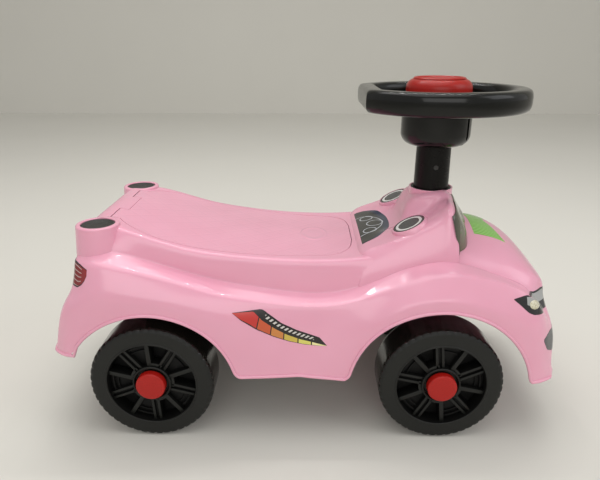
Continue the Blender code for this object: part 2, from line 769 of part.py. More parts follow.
def hinge_tab(name, reach, half_width):
    """The tongue at the tail that carries the hinge, rounded about the hinge axis."""
    behind = LID_REAR_X - 2 * HINGE_LID_REACH
    low = (behind, -half_width, HINGE_Z - 2 * KNUCKLE_R)
    tab = box(name, low, (HINGE_X, half_width, PILLAR_TOP_Z + 2 * BODY_WALL))
    boolean(tab, hinge_rod(name + "_round", reach, half_width), "UNION")
    return freeze(tab)


def tub_screw_points():
    """Where the screws of the storage box meet the underside of the body's wall."""
    surface = body_lump("surface", -BODY_WALL, plain=True)
    points = []
    for x, y in TUB_SCREWS:
        for side in (-1, 1):
            found, point, normal, face = surface.ray_cast((x, side * y, 2 * PILLAR_TOP_Z), (0, 0, -1))
            points.append(point)
    bpy.data.objects.remove(surface)
    return points


def make_body(screw_points):
    shell = body_lump("body_shell")
    boolean(shell, body_lump("body_inside", -BODY_WALL, plain=True))
    hem = [(x, z) for x, half_width, z in HEM]
    end = 2 * HEM[-1][0]
    hem = [(-end, hem[0][1])] + hem + [(end, hem[-1][1]), (end, -BODY_WALL), (-end, -BODY_WALL)]
    boolean(shell, extruded("hem_cut", hem, -ACROSS, ACROSS, True))
    boolean(shell, cowl_lump("cowl_outside"), "UNION")
    for side in (-1, 1):
        pod = rod("pod", POD_R, -POD_DEPTH, POD_HEIGHT)
        boolean(shell, placed(pod, speaker_frame(side)), "UNION")
        foot = (PILLAR_X, side * PILLAR_Y, 0)
        pillar = rod("pillar", PILLAR_R, PILLAR_FOOT_Z, PILLAR_TOP_Z, foot, foot_radius=PILLAR_FOOT_R)
        boolean(shell, pillar, "UNION")
    knuckle = hinge_rod("body_knuckle", KNUCKLE_R, HINGE_TAB_HALF - LID_GAP)
    boolean(shell, knuckle, "UNION")
    boolean(shell, cowl_lump("cowl_inside", BODY_WALL))
    column = (COLUMN_X, 0, 0)
    boolean(shell, rod("tower", TOWER_R, TOWER_FOOT_Z, TOWER_TOP_Z, column), "UNION")
    bore_r = COLUMN_R + BUSH_GAP + BUSH_WALL + GAP
    bore_top = TOWER_TOP_Z + TOWER_R
    seat_z = TOWER_TOP_Z - BUSH_RECESS
    boolean(shell, rod("bush_seat", BUSH_FLANGE_R + GAP, seat_z, bore_top, column))
    boolean(shell, rod("tower_bore", bore_r, TOWER_FOOT_Z - BODY_WALL, bore_top, column))
    for side in (-1, 1):
        floor = POD_HEIGHT - SPEAKER_THICKNESS - GAP
        hole = rod("pod_hole", SPEAKER_R + GAP, floor, POD_HEIGHT + BODY_WALL)
        boolean(shell, placed(hole, speaker_frame(side)))
        foot = (PILLAR_X, side * PILLAR_Y, 0)
        floor = PILLAR_TOP_Z - PILLAR_CAP_SINK - PILLAR_CAP_HEIGHT - GAP
        hollow_foot = PILLAR_FOOT_Z - PILLAR_HEIGHT
        hole = rod("pillar_hole", PILLAR_CAP_R + GAP, floor, PILLAR_TOP_Z + BODY_WALL, foot)
        boolean(shell, hole)
        hollow = rod("pillar_hollow", PILLAR_R - BODY_WALL, hollow_foot, floor - BODY_WALL, foot, steps=12)
        boolean(shell, hollow)
    rear_arch = (REAR_AXLE_X, 0, REAR_ARCH_Z)
    boolean(shell, rod("rear_arch", REAR_ARCH_R, -ACROSS, ACROSS, rear_arch, "Y", ARCH_STEPS))
    front_arch = (FRONT_AXLE_X - FRONT_ARCH_BACK, 0, FRONT_ARCH_Z)
    boolean(shell, rod("front_arch", FRONT_ARCH_R, -ACROSS, ACROSS, front_arch, "Y", ARCH_STEPS))
    boolean(shell, hinge_rod("body_pin_hole", HINGE_PIN_R + GAP, HINGE_PIN_HALF))
    boolean(shell, lid_opening())
    for point in screw_points:
        low = point.z - BODY_WALL
        high = point.z + TUB_SCREW_BITE + GAP
        spot = (point.x, point.y, 0)
        boolean(shell, rod("screw_hole", SCREW_HOLE_R, low, high, spot, steps=SCREW_STEPS))
    return finished(shell, PINK)


def make_lid():
    outline = both_sides(LID_OUTLINE)
    lid = extruded("seat_lid", outline, TUB_FLOOR_Z, PILLAR_TOP_Z + BODY_WALL)
    boolean(lid, body_lump("lid_top"), "INTERSECT")
    boolean(lid, body_lump("lid_inside", -LID_WALL, plain=True))
    tab = hinge_tab("lid_notch", HINGE_TAB_REACH + LID_GAP, HINGE_TAB_HALF + LID_GAP)
    boolean(lid, tab)
    for side in (-1, 1):
        near = HINGE_TAB_HALF + LID_GAP
        start, end = sorted((side * near, side * (near + EAR_LENGTH)))
        ear = rod("ear", KNUCKLE_R, start, end, (HINGE_X, 0, HINGE_Z), "Y", 24)
        boolean(lid, ear, "UNION")
    boolean(lid, hinge_rod("lid_pin_hole", HINGE_PIN_R + GAP, HINGE_PIN_HALF + BODY_WALL))
    return origin_at(finished(lid, PINK), (HINGE_X, 0, HINGE_Z))


def cut_off(outline, x):
    """The part of a closed outline in front of x."""
    kept = []
    for (x1, y1), (x2, y2) in zip(outline, outline[1:] + outline[:1]):
        if x1 >= x:
            kept.append((x1, y1))
        if (x1 - x) * (x2 - x) < 0.0:
            kept.append((x, y1 + (y2 - y1) * (x - x1) / (x2 - x1)))
    return kept


def tub_prism(name, distance, rear_x, foot_z):
    outline = cut_off(grown(both_sides(LID_OUTLINE), distance), rear_x)
    return extruded(name, outline, foot_z, PILLAR_TOP_Z + BODY_WALL)


def make_tub(screw_points):
    """The storage box: a flange that follows the body's wall, walls and a floor."""
    top = PILLAR_TOP_Z + BODY_WALL
    under = -(BODY_WALL + GAP)
    tub = tub_prism("storage_tub", TUB_FLANGE, TUB_REAR_X - TUB_FLANGE / 4, TUB_FLOOR_Z)
    boolean(tub, body_lump("tub_limit", under, plain=True), "INTERSECT")
    below = body_lump("tub_below", under - TUB_LEDGE, plain=True)
    foot = TUB_FLOOR_Z - TUB_WALL
    boolean(below, tub_prism("tub_walls", -TUB_INSET, TUB_REAR_X, foot))
    boolean(tub, freeze(below))
    inset, rear = TUB_INSET + TUB_WALL, TUB_REAR_X + TUB_WALL
    boolean(tub, tub_prism("tub_inside", -inset, rear, TUB_FLOOR_Z + TUB_WALL))
    for point in screw_points:
        spot = (point.x, point.y, 0)
        low = point.z - 3 * TUB_LEDGE
        boolean(tub, rod("screw_hole", SCREW_HOLE_R, low, top, spot, steps=SCREW_STEPS))
    for x, y in bracket_screw_points():
        floor = TUB_FLOOR_Z + TUB_WALL / 2
        boss_top = TUB_FLOOR_Z + TUB_WALL + BRACKET_BOSS_HEIGHT
        boss = rod("boss", BRACKET_BOSS_R, floor, boss_top, (x, y, 0), steps=SCREW_STEPS)
        boolean(tub, boss, "UNION")
        hole_top = boss_top - TUB_WALL
        hole = rod("boss_hole", SCREW_HOLE_R, foot, hole_top, (x, y, 0), steps=SCREW_STEPS)
        boolean(tub, hole)
    return finished(tub, BLACK)


def bracket_screw_points():
    y = BRACKET_Y + BRACKET_THICKNESS + BRACKET_FOOT / 2
    return [
        (REAR_AXLE_X + x, side * y)
        for x in (-BRACKET_SCREW_X, BRACKET_SCREW_X) for side in (-1, 1)
    ]


def make_rear_axle():
    centre = (REAR_AXLE_X, 0, AXLE_Z)
    reach = HUB_FACE_Y + AXLE_END
    finished(rod("rear_axle", AXLE_R, -reach, reach, centre, "Y", 24), STEEL)
    make_axle_tube("rear_axle_tube", centre)
    top = TUB_FLOOR_Z - GAP
    for side, word in ((-1, "right"), (1, "left")):
        plate_y = sorted((side * BRACKET_Y, side * (BRACKET_Y + BRACKET_THICKNESS)))
        foot_y = sorted((side * BRACKET_Y, side * (BRACKET_Y + BRACKET_THICKNESS + BRACKET_FOOT)))
        low = (REAR_AXLE_X - BRACKET_HALF, plate_y[0], AXLE_Z - BRACKET_BELOW_AXLE)
        high = (REAR_AXLE_X + BRACKET_HALF, plate_y[1], top)
        bracket = box("rear_axle_bracket_" + word, low, high)
        low = (REAR_AXLE_X - BRACKET_HALF, foot_y[0], top - BRACKET_FOOT_THICKNESS)
        high = (REAR_AXLE_X + BRACKET_HALF, foot_y[1], top)
        boolean(bracket, box("bracket_foot", low, high), "UNION")
        bore_r = AXLE_TUBE_R + GAP
        boolean(bracket, rod("bracket_bore", bore_r, -ACROSS, ACROSS, centre, "Y", 24))
        for x, y in bracket_screw_points():
            spot = (x, y, 0)
            boolean(bracket, rod("hole", SCREW_HOLE_R, 0, 2 * top, spot, steps=SCREW_STEPS))
        finished(bracket, BLACK)
    head_z = top - BRACKET_FOOT_THICKNESS - GAP
    length = BRACKET_FOOT_THICKNESS + BRACKET_BOSS_HEIGHT
    for count, (x, y) in enumerate(bracket_screw_points(), 1):
        pan_screw(f"bracket_screw_{count}", (x, y, head_z), length, flip=True)


def make_axle_tube(name, centre):
    profile = [
        (AXLE_BORE_R, AXLE_TUBE_END_Y), (AXLE_TUBE_R, AXLE_TUBE_END_Y),
        (AXLE_TUBE_R, -AXLE_TUBE_END_Y), (AXLE_BORE_R, -AXLE_TUBE_END_Y),
    ]
    return finished(turned(name, profile, centre, "Y", 24), BLACK)


def wheel_profile():
    """From the bore at the outer side, over the hub, web, rim and tread, and back.

    The flats of the tread touch the wheel's radius, so that one of them is its foot.
    """
    web_top = WHEEL_WIDTH - WHEEL_WEB_DEPTH
    web_foot = web_top - WHEEL_WEB
    shoulder = WHEEL_R - WHEEL_SHOULDER
    tread = WHEEL_R / math.cos(math.pi / WHEEL_STEPS)
    return [
        (AXLE_BORE_R, HUB_HEIGHT), (WHEEL_HUB_R, HUB_HEIGHT),
        (WHEEL_HUB_R, web_top), (WHEEL_RIM_R, web_top), (WHEEL_RIM_R, WHEEL_WIDTH),
        (shoulder, WHEEL_WIDTH), (tread, WHEEL_WIDTH - WHEEL_SHOULDER),
        (tread, WHEEL_SHOULDER), (shoulder, 0.0),
        (WHEEL_RIM_R, 0.0), (WHEEL_RIM_R, web_foot),
        (WHEEL_HUB_R, web_foot), (WHEEL_HUB_R, 0.0), (AXLE_BORE_R, 0.0),
    ]


def make_wheel_mesh():
    """A wheel drawn along Z with its outer face up: ten spokes, each second one wide."""
    wheel = turned("wheel_blank", wheel_profile(), steps=WHEEL_STEPS)
    placed(wheel, Matrix.Rotation(math.pi / WHEEL_STEPS, 4, "Z"))
    low, high = WHEEL_WIDTH - WHEEL_WEB_DEPTH - SPOKE_OVERLAP, WHEEL_WIDTH - SPOKE_SINK
    start, end = WHEEL_HUB_R - SPOKE_OVERLAP, WHEEL_RIM_R + SPOKE_OVERLAP
    bm = bmesh.new()
    for i in range(SPOKE_COUNT):
        width = TWIN_SPOKE_WIDTH if i % 2 else SPOKE_WIDTH
        bar = bmesh.ops.create_cube(bm, size=1.0)["verts"]
        bmesh.ops.scale(bm, vec=(end - start, width, high - low), verts=bar)
        middle = ((start + end) / 2, 0.0, (low + high) / 2)
        bmesh.ops.translate(bm, vec=middle, verts=bar)
        turn = Matrix.Rotation(2 * math.pi * i / SPOKE_COUNT, 4, "Z")
        bmesh.ops.transform(bm, matrix=turn, verts=bar)
    boolean(wheel, add_object("spokes", mesh_from(bm, "spokes")), "UNION")
    wheel = finished(wheel, BLACK)
    mesh = wheel.data
    bpy.data.objects.remove(wheel)
    return mesh


def hub_cap_profile():
    top = HUB_CAP_HEIGHT
    inner = HUB_CAP_R - HUB_CAP_WALL
    return [
        (0.0, top), (HUB_CAP_R - HUB_CAP_ROUND, top),
        (HUB_CAP_R - HUB_CAP_ROUND * 0.3, top - HUB_CAP_ROUND * 0.3),
        (HUB_CAP_R, top - HUB_CAP_ROUND), (HUB_CAP_R, 0.0), (inner, 0.0),
        (inner, top - HUB_CAP_TOP), (0.0, top - HUB_CAP_TOP),
    ]


def ring_profile(inner, outer, height):
    return [(inner, height), (outer, height), (outer, 0.0), (inner, 0.0)]


def make_wheels():
    """Four wheels, each with its hub cap, push nut and washer."""
    wheel_mesh = make_wheel_mesh()
    for end, axle_x in (("front", FRONT_AXLE_X), ("rear", REAR_AXLE_X)):
        for side, word in ((-1, "right"), (1, "left")):
            corner = f"{end}_{word}"
            outwards = ALONG["Y"] if side > 0 else ALONG["Y"] @ HALF_TURN
            centre = Vector((axle_x, 0, AXLE_Z))
            foot = Matrix.Translation(centre + Vector((0, side * WHEEL_INNER_Y, 0)))
            wheel = add_object("wheel_" + corner, wheel_mesh)
            wheel.matrix_world = foot @ outwards
            flip = side < 0
            place = {"axis": "Y", "flip": flip}
            face = centre + Vector((0, side * (HUB_FACE_Y + GAP), 0))
            cap = turned("hub_cap_" + corner, hub_cap_profile(), face, steps=16, **place)
            origin_at(finished(cap, RED), centre)
            profile = ring_profile(AXLE_BORE_R, PUSH_NUT_R, PUSH_NUT_HEIGHT)
            nut = turned("push_nut_" + corner, profile, face, steps=10, **place)
            finished(nut, STEEL)
            seat = centre + Vector((0, side * (AXLE_TUBE_END_Y + GAP), 0))
            profile = ring_profile(AXLE_BORE_R, WASHER_R, WASHER_THICKNESS)
            washer = turned("washer_" + corner, profile, seat, steps=10, **place)
            finished(washer, STEEL)


def make_yoke():
    """Holds the front axle across the foot of the steering column."""
    column = (COLUMN_X, 0, 0)
    axle = (COLUMN_X, 0, AXLE_Z)
    top = TOWER_FOOT_Z - BUSH_FLANGE - 2 * GAP
    yoke = rod("axle_yoke", YOKE_R, YOKE_FOOT_Z, top, column)
    tube = rod("yoke_tube", AXLE_TUBE_R, -AXLE_TUBE_END_Y, AXLE_TUBE_END_Y, axle, "Y", 24)
    boolean(yoke, tube, "UNION")
    low = (COLUMN_X - YOKE_RIB_HALF, -YOKE_RIB_REACH, AXLE_Z)
    high = (COLUMN_X + YOKE_RIB_HALF, YOKE_RIB_REACH, YOKE_RIB_TOP_Z)
    boolean(yoke, box("yoke_rib", low, high), "UNION")
    socket = rod("yoke_socket", COLUMN_R + GAP, COLUMN_FOOT_Z - GAP, top + YOKE_R, column)
    boolean(yoke, socket)
    boolean(yoke, rod("yoke_bore", AXLE_BORE_R, -ACROSS, ACROSS, axle, "Y", 24))
    pin = (COLUMN_X, 0, PIN_Z)
    boolean(yoke, rod("yoke_pin_hole", PIN_R + GAP, -2 * YOKE_R, 2 * YOKE_R, pin, "Y", 16))
    return origin_at(finished(yoke, BLACK), column)


def make_column():
    column = (COLUMN_X, 0, 0)
    inner = COLUMN_R - COLUMN_WALL
    top = CUP_FOOT_Z - GAP
    profile = [(inner, top), (COLUMN_R, top), (COLUMN_R, COLUMN_FOOT_Z), (inner, COLUMN_FOOT_Z)]
    tube = turned("steering_column", profile, column)
    pin = (COLUMN_X, 0, PIN_Z)
    boolean(tube, rod("column_pin_hole", PIN_R + GAP, -2 * YOKE_R, 2 * YOKE_R, pin, "Y", 16))
    screw = (COLUMN_X, 0, PINCH_SCREW_Z)
    recess = rod("recess", SCREW_HEAD_R + GAP, -2 * COLUMN_R, -inner / 2, screw, "Y", 16)
    boolean(tube, recess)
    origin_at(finished(tube, BLACK), column)
    reach = YOKE_R + PIN_PROUD
    finished(rod("column_pin", PIN_R, -reach, reach, pin, "Y", 16), STEEL)
    seat = -(inner - GAP)
    pan_screw("column_screw", (COLUMN_X, seat - GAP, PINCH_SCREW_Z), COLUMN_SCREW_LENGTH, "Y", True)


def make_bushes():
    """A flanged bush at each end of the tower, in which the column turns."""
    inner = COLUMN_R + BUSH_GAP
    outer = inner + BUSH_WALL
    profile = [
        (inner, BUSH_FLANGE), (BUSH_FLANGE_R, BUSH_FLANGE), (BUSH_FLANGE_R, 0.0),
        (outer, 0.0), (outer, -BUSH_LENGTH), (inner, -BUSH_LENGTH),
    ]
    upper = (COLUMN_X, 0, TOWER_TOP_Z - BUSH_RECESS + GAP)
    lower = (COLUMN_X, 0, TOWER_FOOT_Z - GAP)
    finished(turned("column_bush_upper", profile, upper), BLACK)
    finished(turned("column_bush_lower", profile, lower, flip=True), BLACK)


def hub_screw_spots():
    spots = []
    for i in range(HUB_SCREW_COUNT):
        angle = math.pi + 2 * math.pi * i / HUB_SCREW_COUNT
        x = COLUMN_X + CUP_BOSS_RADIUS * math.cos(angle)
        spots.append((x, CUP_BOSS_RADIUS * math.sin(angle)))
    return spots


def make_cup():
    """The cup under the steering wheel, with a spigot that plugs into the column."""
    column = (COLUMN_X, 0, 0)
    inner = CUP_R - CUP_WALL
    floor = CUP_FOOT_Z + CUP_FLOOR
    spigot = COLUMN_R - COLUMN_WALL - GAP
    profile = [
        (SOUND_BOX_R / 4, floor), (inner - 2 * CUP_WALL, floor),
        (inner, floor + 2 * CUP_WALL), (inner, CUP_TOP_Z), (CUP_R, CUP_TOP_Z),
        (CUP_R, CUP_FOOT_Z + CUP_ROUND),
        (CUP_R - 0.09 * CUP_ROUND, CUP_FOOT_Z + 0.65 * CUP_ROUND),
        (CUP_R - 0.32 * CUP_ROUND, CUP_FOOT_Z + 0.32 * CUP_ROUND),
        (CUP_R - 0.65 * CUP_ROUND, CUP_FOOT_Z + 0.11 * CUP_ROUND),
        (CUP_NECK_R, CUP_FOOT_Z), (spigot, CUP_FOOT_Z), (spigot, SPIGOT_FOOT_Z),
        (spigot - CUP_WALL, SPIGOT_FOOT_Z), (spigot - CUP_WALL, CUP_FOOT_Z),
        (SOUND_BOX_R / 4, CUP_FOOT_Z),
    ]
    cup = turned("hub_cup", profile, column)
    for x, y in hub_screw_spots():
        spot = (x, y, 0)
        boss = rod("cup_boss", CUP_BOSS_R, floor - CUP_FLOOR / 2, CUP_TOP_Z, spot, steps=10)
        boolean(cup, boss, "UNION")
        hole = rod("cup_hole", SCREW_HOLE_R, floor + CUP_FLOOR, RIM_TOP_Z, spot, steps=SCREW_STEPS)
        boolean(cup, hole)
    screw = (COLUMN_X, 0, PINCH_SCREW_Z)
    boolean(cup, rod("spigot_hole", SCREW_HOLE_R, -2 * COLUMN_R, 0, screw, "Y", SCREW_STEPS))
    return origin_at(finished(cup, BLACK), column)


def rim_centre_line():
    """An ellipse cut off by a flat at the rider's end, inside the rim's outline."""
    inset = RIM_SECTION_WIDTH / 2
    length, width = RIM_HALF_LENGTH - inset, RIM_HALF_WIDTH - inset
    reach = math.acos(-(RIM_FLAT_X - inset) / length)
    points = []
    for i in range(RIM_STEPS + 1):
        angle = -reach + 2 * reach * i / RIM_STEPS
        points.append((COLUMN_X + length * math.cos(angle), width * math.sin(angle)))
    return points


def rim_section():
    points = []
    half_width, half_height = RIM_SECTION_WIDTH / 2, (RIM_TOP_Z - RIM_FOOT_Z) / 2
    for i in range(RIM_SECTION_POINTS):
        angle = 2 * math.pi * (i + 0.5) / RIM_SECTION_POINTS
        u, v = math.cos(angle), math.sin(angle)
        u = math.copysign(abs(u) ** (2 / RIM_SQUARENESS), u)
        v = math.copysign(abs(v) ** (2 / RIM_SQUARENESS), v)
        points.append((half_width * u, half_height * v))
    peak = max(v for u, v in points)
    return [(u, v * half_height / peak) for u, v in points]


def closed_curve(name, points, height=0.0):
    curve = bpy.data.curves.new(name, "CURVE")
    curve.dimensions = "2D"
    curve.fill_mode = "NONE"
    spline = curve.splines.new("POLY")
    spline.points.add(len(points) - 1)
    for point, (u, v) in zip(spline.points, points):
        point.co = (u, v, 0.0, 1.0)
    spline.use_cyclic_u = True
    obj = bpy.data.objects.new(name, curve)
    CAR.objects.link(obj)
    obj.location.z = height
    return obj


def make_steering_wheel():
    section = closed_curve("rim_section", rim_section())
    rim = closed_curve("steering_wheel", rim_centre_line(), (RIM_FOOT_Z + RIM_TOP_Z) / 2)
    rim.data.bevel_mode = "OBJECT"
    rim.data.bevel_object = section
    wheel = freeze(rim, weld=0.00001)
    bpy.data.objects.remove(section)
    column = (COLUMN_X, 0, 0)
    foot = CUP_TOP_Z + GAP
    inner = BUTTON_R + BUTTON_GAP
    hole = STEM_R + RUNNING_GAP
    profile = [
        (hole, foot + PLATE_FLOOR), (inner, foot + PLATE_FLOOR), (inner, PLATE_TOP_Z),
        (PLATE_R - PLATE_CHAMFER, PLATE_TOP_Z), (PLATE_R, PLATE_TOP_Z - PLATE_CHAMFER),
        (PLATE_R, foot),
        (hole, foot),
    ]
    plate = turned("plate", profile, column)
    spokes = []
    inside = (PLATE_R + inner) / 2
    rim_y = RIM_HALF_WIDTH - RIM_SECTION_WIDTH / 2
    for side in (-1, 1):
        ends = sorted((side * inside, side * rim_y))
        low = (COLUMN_X - SPOKE_HALF, ends[0], SPOKE_FOOT_Z)
        spokes.append(box("spoke", low, (COLUMN_X + SPOKE_HALF, ends[1], SPOKE_TOP_Z)))
    low = (COLUMN_X - RIM_FLAT_X + RIM_SECTION_WIDTH / 2, -LOWER_SPOKE_HALF, SPOKE_FOOT_Z)
    high = (COLUMN_X - inside, LOWER_SPOKE_HALF, SPOKE_TOP_Z)
    spokes.append(box("spoke", low, high))
    boolean(wheel, plate, "UNION")
    for spoke in spokes:
        boolean(wheel, spoke, "UNION")
    for x, y in hub_screw_spots():
        spot = (x, y, 0)
        boolean(wheel, rod("plate_hole", SCREW_HOLE_R, CUP_FOOT_Z, RIM_TOP_Z, spot, steps=SCREW_STEPS))
    origin_at(finished(wheel, BLACK), column)
    head_z = foot + PLATE_FLOOR + GAP
    for count, (x, y) in enumerate(hub_screw_spots(), 1):
        pan_screw(f"hub_screw_{count}", (x, y, head_z), HUB_SCREW_LENGTH)


def make_sound_box():
    column = (COLUMN_X, 0, 0)
    foot, top = CUP_FOOT_Z + CUP_FLOOR + GAP, CUP_TOP_Z - RUNNING_GAP
    return finished(rod("sound_module", SOUND_BOX_R, foot, top, column), BLACK)


def make_button():
    """The horn button, and the spring that lifts it off the wheel's centre plate."""
    column = (COLUMN_X, 0, 0)
    top = BUTTON_TOP_Z
    ring_out = BUTTON_RING_R + BUTTON_RING_WIDTH / 2
    ring_in = BUTTON_RING_R - BUTTON_RING_WIDTH / 2
    flat = top - BUTTON_RING_HEIGHT
    inner = BUTTON_R - BUTTON_SKIRT
    ceiling = flat - BUTTON_CEILING
    profile = [
        (0.0, flat), (ring_in - BUTTON_RING_SLOPE, flat), (ring_in, top), (ring_out, top),
        (BUTTON_R - 0.27 * BUTTON_ROUND, top - 0.27 * BUTTON_ROUND),
        (BUTTON_R - 0.07 * BUTTON_ROUND, top - 0.64 * BUTTON_ROUND),
        (BUTTON_R, top - BUTTON_ROUND), (BUTTON_R, BUTTON_FOOT_Z), (inner, BUTTON_FOOT_Z),
        (inner, top - BUTTON_ROUND), (ring_out, ceiling), (STEM_R, ceiling),
        (STEM_R, STEM_FOOT_Z), (0.0, STEM_FOOT_Z),
    ]
    button = turned("horn_button", profile, column)
    origin_at(finished(button, RED), column)
    floor = CUP_TOP_Z + GAP + PLATE_FLOOR
    start = floor + GAP + SPRING_WIRE_R
    rise = ceiling - GAP - SPRING_WIRE_R - start
    curve = bpy.data.curves.new("button_spring", "CURVE")
    curve.dimensions = "3D"
    curve.bevel_depth = SPRING_WIRE_R
    curve.bevel_resolution = 1
    curve.use_fill_caps = True
    spline = curve.splines.new("POLY")
    count = SPRING_TURNS * SPRING_STEPS
    spline.points.add(count)
    for i, point in enumerate(spline.points):
        angle = 2 * math.pi * i / SPRING_STEPS
        x = COLUMN_X + SPRING_R * math.cos(angle)
        point.co = (x, SPRING_R * math.sin(angle), start + rise * i / count, 1.0)
    spring = bpy.data.objects.new("button_spring", curve)
    CAR.objects.link(spring)
    finished(freeze(spring, weld=0.00001), STEEL)


def make_trim():
    """Pillar caps, speaker discs and the windscreen."""
    for side, word in ((-1, "right"), (1, "left")):
        top = PILLAR_TOP_Z - PILLAR_CAP_SINK
        foot = (PILLAR_X, side * PILLAR_Y, 0)
        cap = rod("pillar_cap_" + word, PILLAR_CAP_R, top - PILLAR_CAP_HEIGHT, top, foot)
        finished(cap, MESH)
        disc = rod("speaker_" + word, SPEAKER_R, POD_HEIGHT - SPEAKER_THICKNESS, POD_HEIGHT)
        finished(placed(disc, speaker_frame(side)), MESH)
    screen = offset_by(cowl_lump("windscreen"), GAP + SCREEN_THICKNESS)
    prism = extruded("screen_prism", SCREEN_OUTLINE, -SCREEN_HALF, SCREEN_HALF, True)
    boolean(screen, prism, "INTERSECT")
    boolean(screen, offset_by(cowl_lump("screen_seat"), GAP))
    boolean(screen, body_lump("screen_foot", 2 * GAP))
    finished(screen, SMOKED)


def make_hinge_pin():
    finished(hinge_rod("hinge_pin", HINGE_PIN_R, HINGE_PIN_HALF), STEEL)


def make_front_axle():
    centre = (FRONT_AXLE_X, 0, AXLE_Z)
    reach = HUB_FACE_Y + AXLE_END
    axle = rod("front_axle", AXLE_R, -reach, reach, centre, "Y", 24)
    origin_at(finished(axle, STEEL), (COLUMN_X, 0, 0))


def make_tub_screws(screw_points):
    for count, point in enumerate(screw_points, 1):
        head_z = point.z - GAP - TUB_LEDGE - 3 * GAP
        length = point.z + TUB_SCREW_BITE - head_z
        spot = (point.x, point.y, head_z)
        pan_screw(f"tub_screw_{count}", spot, length, flip=True)


def main():
    screw_points = tub_screw_points()
    make_body(screw_points)
    make_lid()
    make_hinge_pin()
    make_tub(screw_points)
    make_tub_screws(screw_points)
    make_trim()
    make_rear_axle()
    make_wheels()
    make_bushes()
    make_yoke()
    make_front_axle()
    make_column()
    make_cup()
    make_sound_box()
    make_steering_wheel()
    make_button()


main()
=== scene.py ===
# %% [markdown]
# A child's foot-to-floor ride-on car, dressed for its photograph. The solids of the car
# are packed already: this lesson loads them, models the smooth visible mouldings around
# them, paints every surface, and lights a plain studio. Metres, +X is the front of the
# car, +Y its left side, +Z up, and the origin is on the floor under its middle.

import json
import math

import bpy
from mathutils import Matrix, Vector

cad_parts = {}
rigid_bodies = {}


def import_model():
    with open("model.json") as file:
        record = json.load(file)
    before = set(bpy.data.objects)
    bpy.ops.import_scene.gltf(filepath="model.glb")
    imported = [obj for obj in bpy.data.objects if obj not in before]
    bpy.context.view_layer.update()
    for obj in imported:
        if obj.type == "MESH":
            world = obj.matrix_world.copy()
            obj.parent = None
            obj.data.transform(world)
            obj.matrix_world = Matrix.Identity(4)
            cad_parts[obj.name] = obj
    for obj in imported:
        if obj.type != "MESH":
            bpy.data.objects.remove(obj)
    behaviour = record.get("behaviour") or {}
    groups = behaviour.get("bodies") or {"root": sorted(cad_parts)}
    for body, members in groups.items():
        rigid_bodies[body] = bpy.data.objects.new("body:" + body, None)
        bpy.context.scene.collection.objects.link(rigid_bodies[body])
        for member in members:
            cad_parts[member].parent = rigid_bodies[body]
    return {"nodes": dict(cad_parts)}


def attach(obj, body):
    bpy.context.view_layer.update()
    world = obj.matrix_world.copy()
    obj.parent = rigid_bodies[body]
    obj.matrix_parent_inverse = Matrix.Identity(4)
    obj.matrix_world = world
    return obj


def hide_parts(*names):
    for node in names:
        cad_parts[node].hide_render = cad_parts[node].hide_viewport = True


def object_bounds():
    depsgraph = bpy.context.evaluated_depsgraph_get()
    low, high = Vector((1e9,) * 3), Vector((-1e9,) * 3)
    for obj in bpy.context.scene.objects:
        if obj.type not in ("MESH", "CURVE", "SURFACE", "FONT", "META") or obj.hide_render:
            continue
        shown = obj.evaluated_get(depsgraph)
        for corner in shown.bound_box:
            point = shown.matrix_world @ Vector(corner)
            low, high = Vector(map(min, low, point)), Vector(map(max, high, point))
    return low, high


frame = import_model()
NODES = frame["nodes"]
CAD_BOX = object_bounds()

# %% [markdown]
# The photograph was taken from beside the car, a little above it. The camera's height,
# tilt and lens were worked out from the wheels and the floor, so a pixel of the photograph
# can be turned into a ray: that is how the printed stickers find their places later. A
# camera can also be moved by eye until it fits, but nothing can be measured through that.

# %% Camera
PHOTO_SIZE = (600, 480)
CAMERA_AT = Vector((-0.0035, -0.6275, 0.42))
CAMERA_LENS = 32.4
CAMERA_SENSOR = 36.0
CAMERA_DOWN = math.radians(20.16)
CAMERA_LEFT = math.radians(0.68)

bpy.ops.object.select_all(action="DESELECT")
bpy.ops.object.camera_add(location=CAMERA_AT, rotation=(math.pi / 2 - CAMERA_DOWN, 0, CAMERA_LEFT))
camera = bpy.context.active_object
camera.name = "camera_beside_the_car"
camera.data.lens = CAMERA_LENS
camera.data.sensor_width = CAMERA_SENSOR
camera.data.clip_start = 0.01
bpy.context.scene.camera = camera
bpy.context.view_layer.update()
VIEW = camera.matrix_world.to_3x3()
FOCAL_PIXELS = CAMERA_LENS / CAMERA_SENSOR * PHOTO_SIZE[0]


def ray_of(pixel):
    """The direction from the camera through a pixel of the photograph."""
    across = (pixel[0] - PHOTO_SIZE[0] / 2) / FOCAL_PIXELS
    up = (PHOTO_SIZE[1] / 2 - pixel[1]) / FOCAL_PIXELS
    return (VIEW @ Vector((across, up, -1.0))).normalized()


print("camera focal length in pixels:", FOCAL_PIXELS)

# %% [markdown]
# Every mesh here starts as a primitive. These helpers do what the hand does in the
# viewport: select one piece, open it in edit mode, apply a modifier, cut with another
# piece. Everything else is deselected first, because an operator acts on all it finds.
# The same lines could stand in every cell; written once, they leave the cells to the car.

# %% Select, edit and apply
WELD, COARSE_WELD = 0.000002, 0.00001


def only(piece):
    bpy.ops.object.select_all(action="DESELECT")
    piece.select_set(True)
    bpy.context.view_layer.objects.active = piece
    return piece


def born(name):
    """Names the primitive that was just added and puts its place into its mesh."""
    piece = bpy.context.active_object
    piece.name = piece.data.name = name
    only(piece)
    bpy.ops.object.transform_apply(location=True, rotation=True, scale=True)
    return piece


def edit(piece):
    """Opens the piece in edit mode with all of it selected."""
    only(piece)
    bpy.ops.object.mode_set(mode="EDIT")
    bpy.ops.mesh.select_all(action="SELECT")


def close(piece):
    bpy.ops.object.mode_set(mode="OBJECT")
    return piece


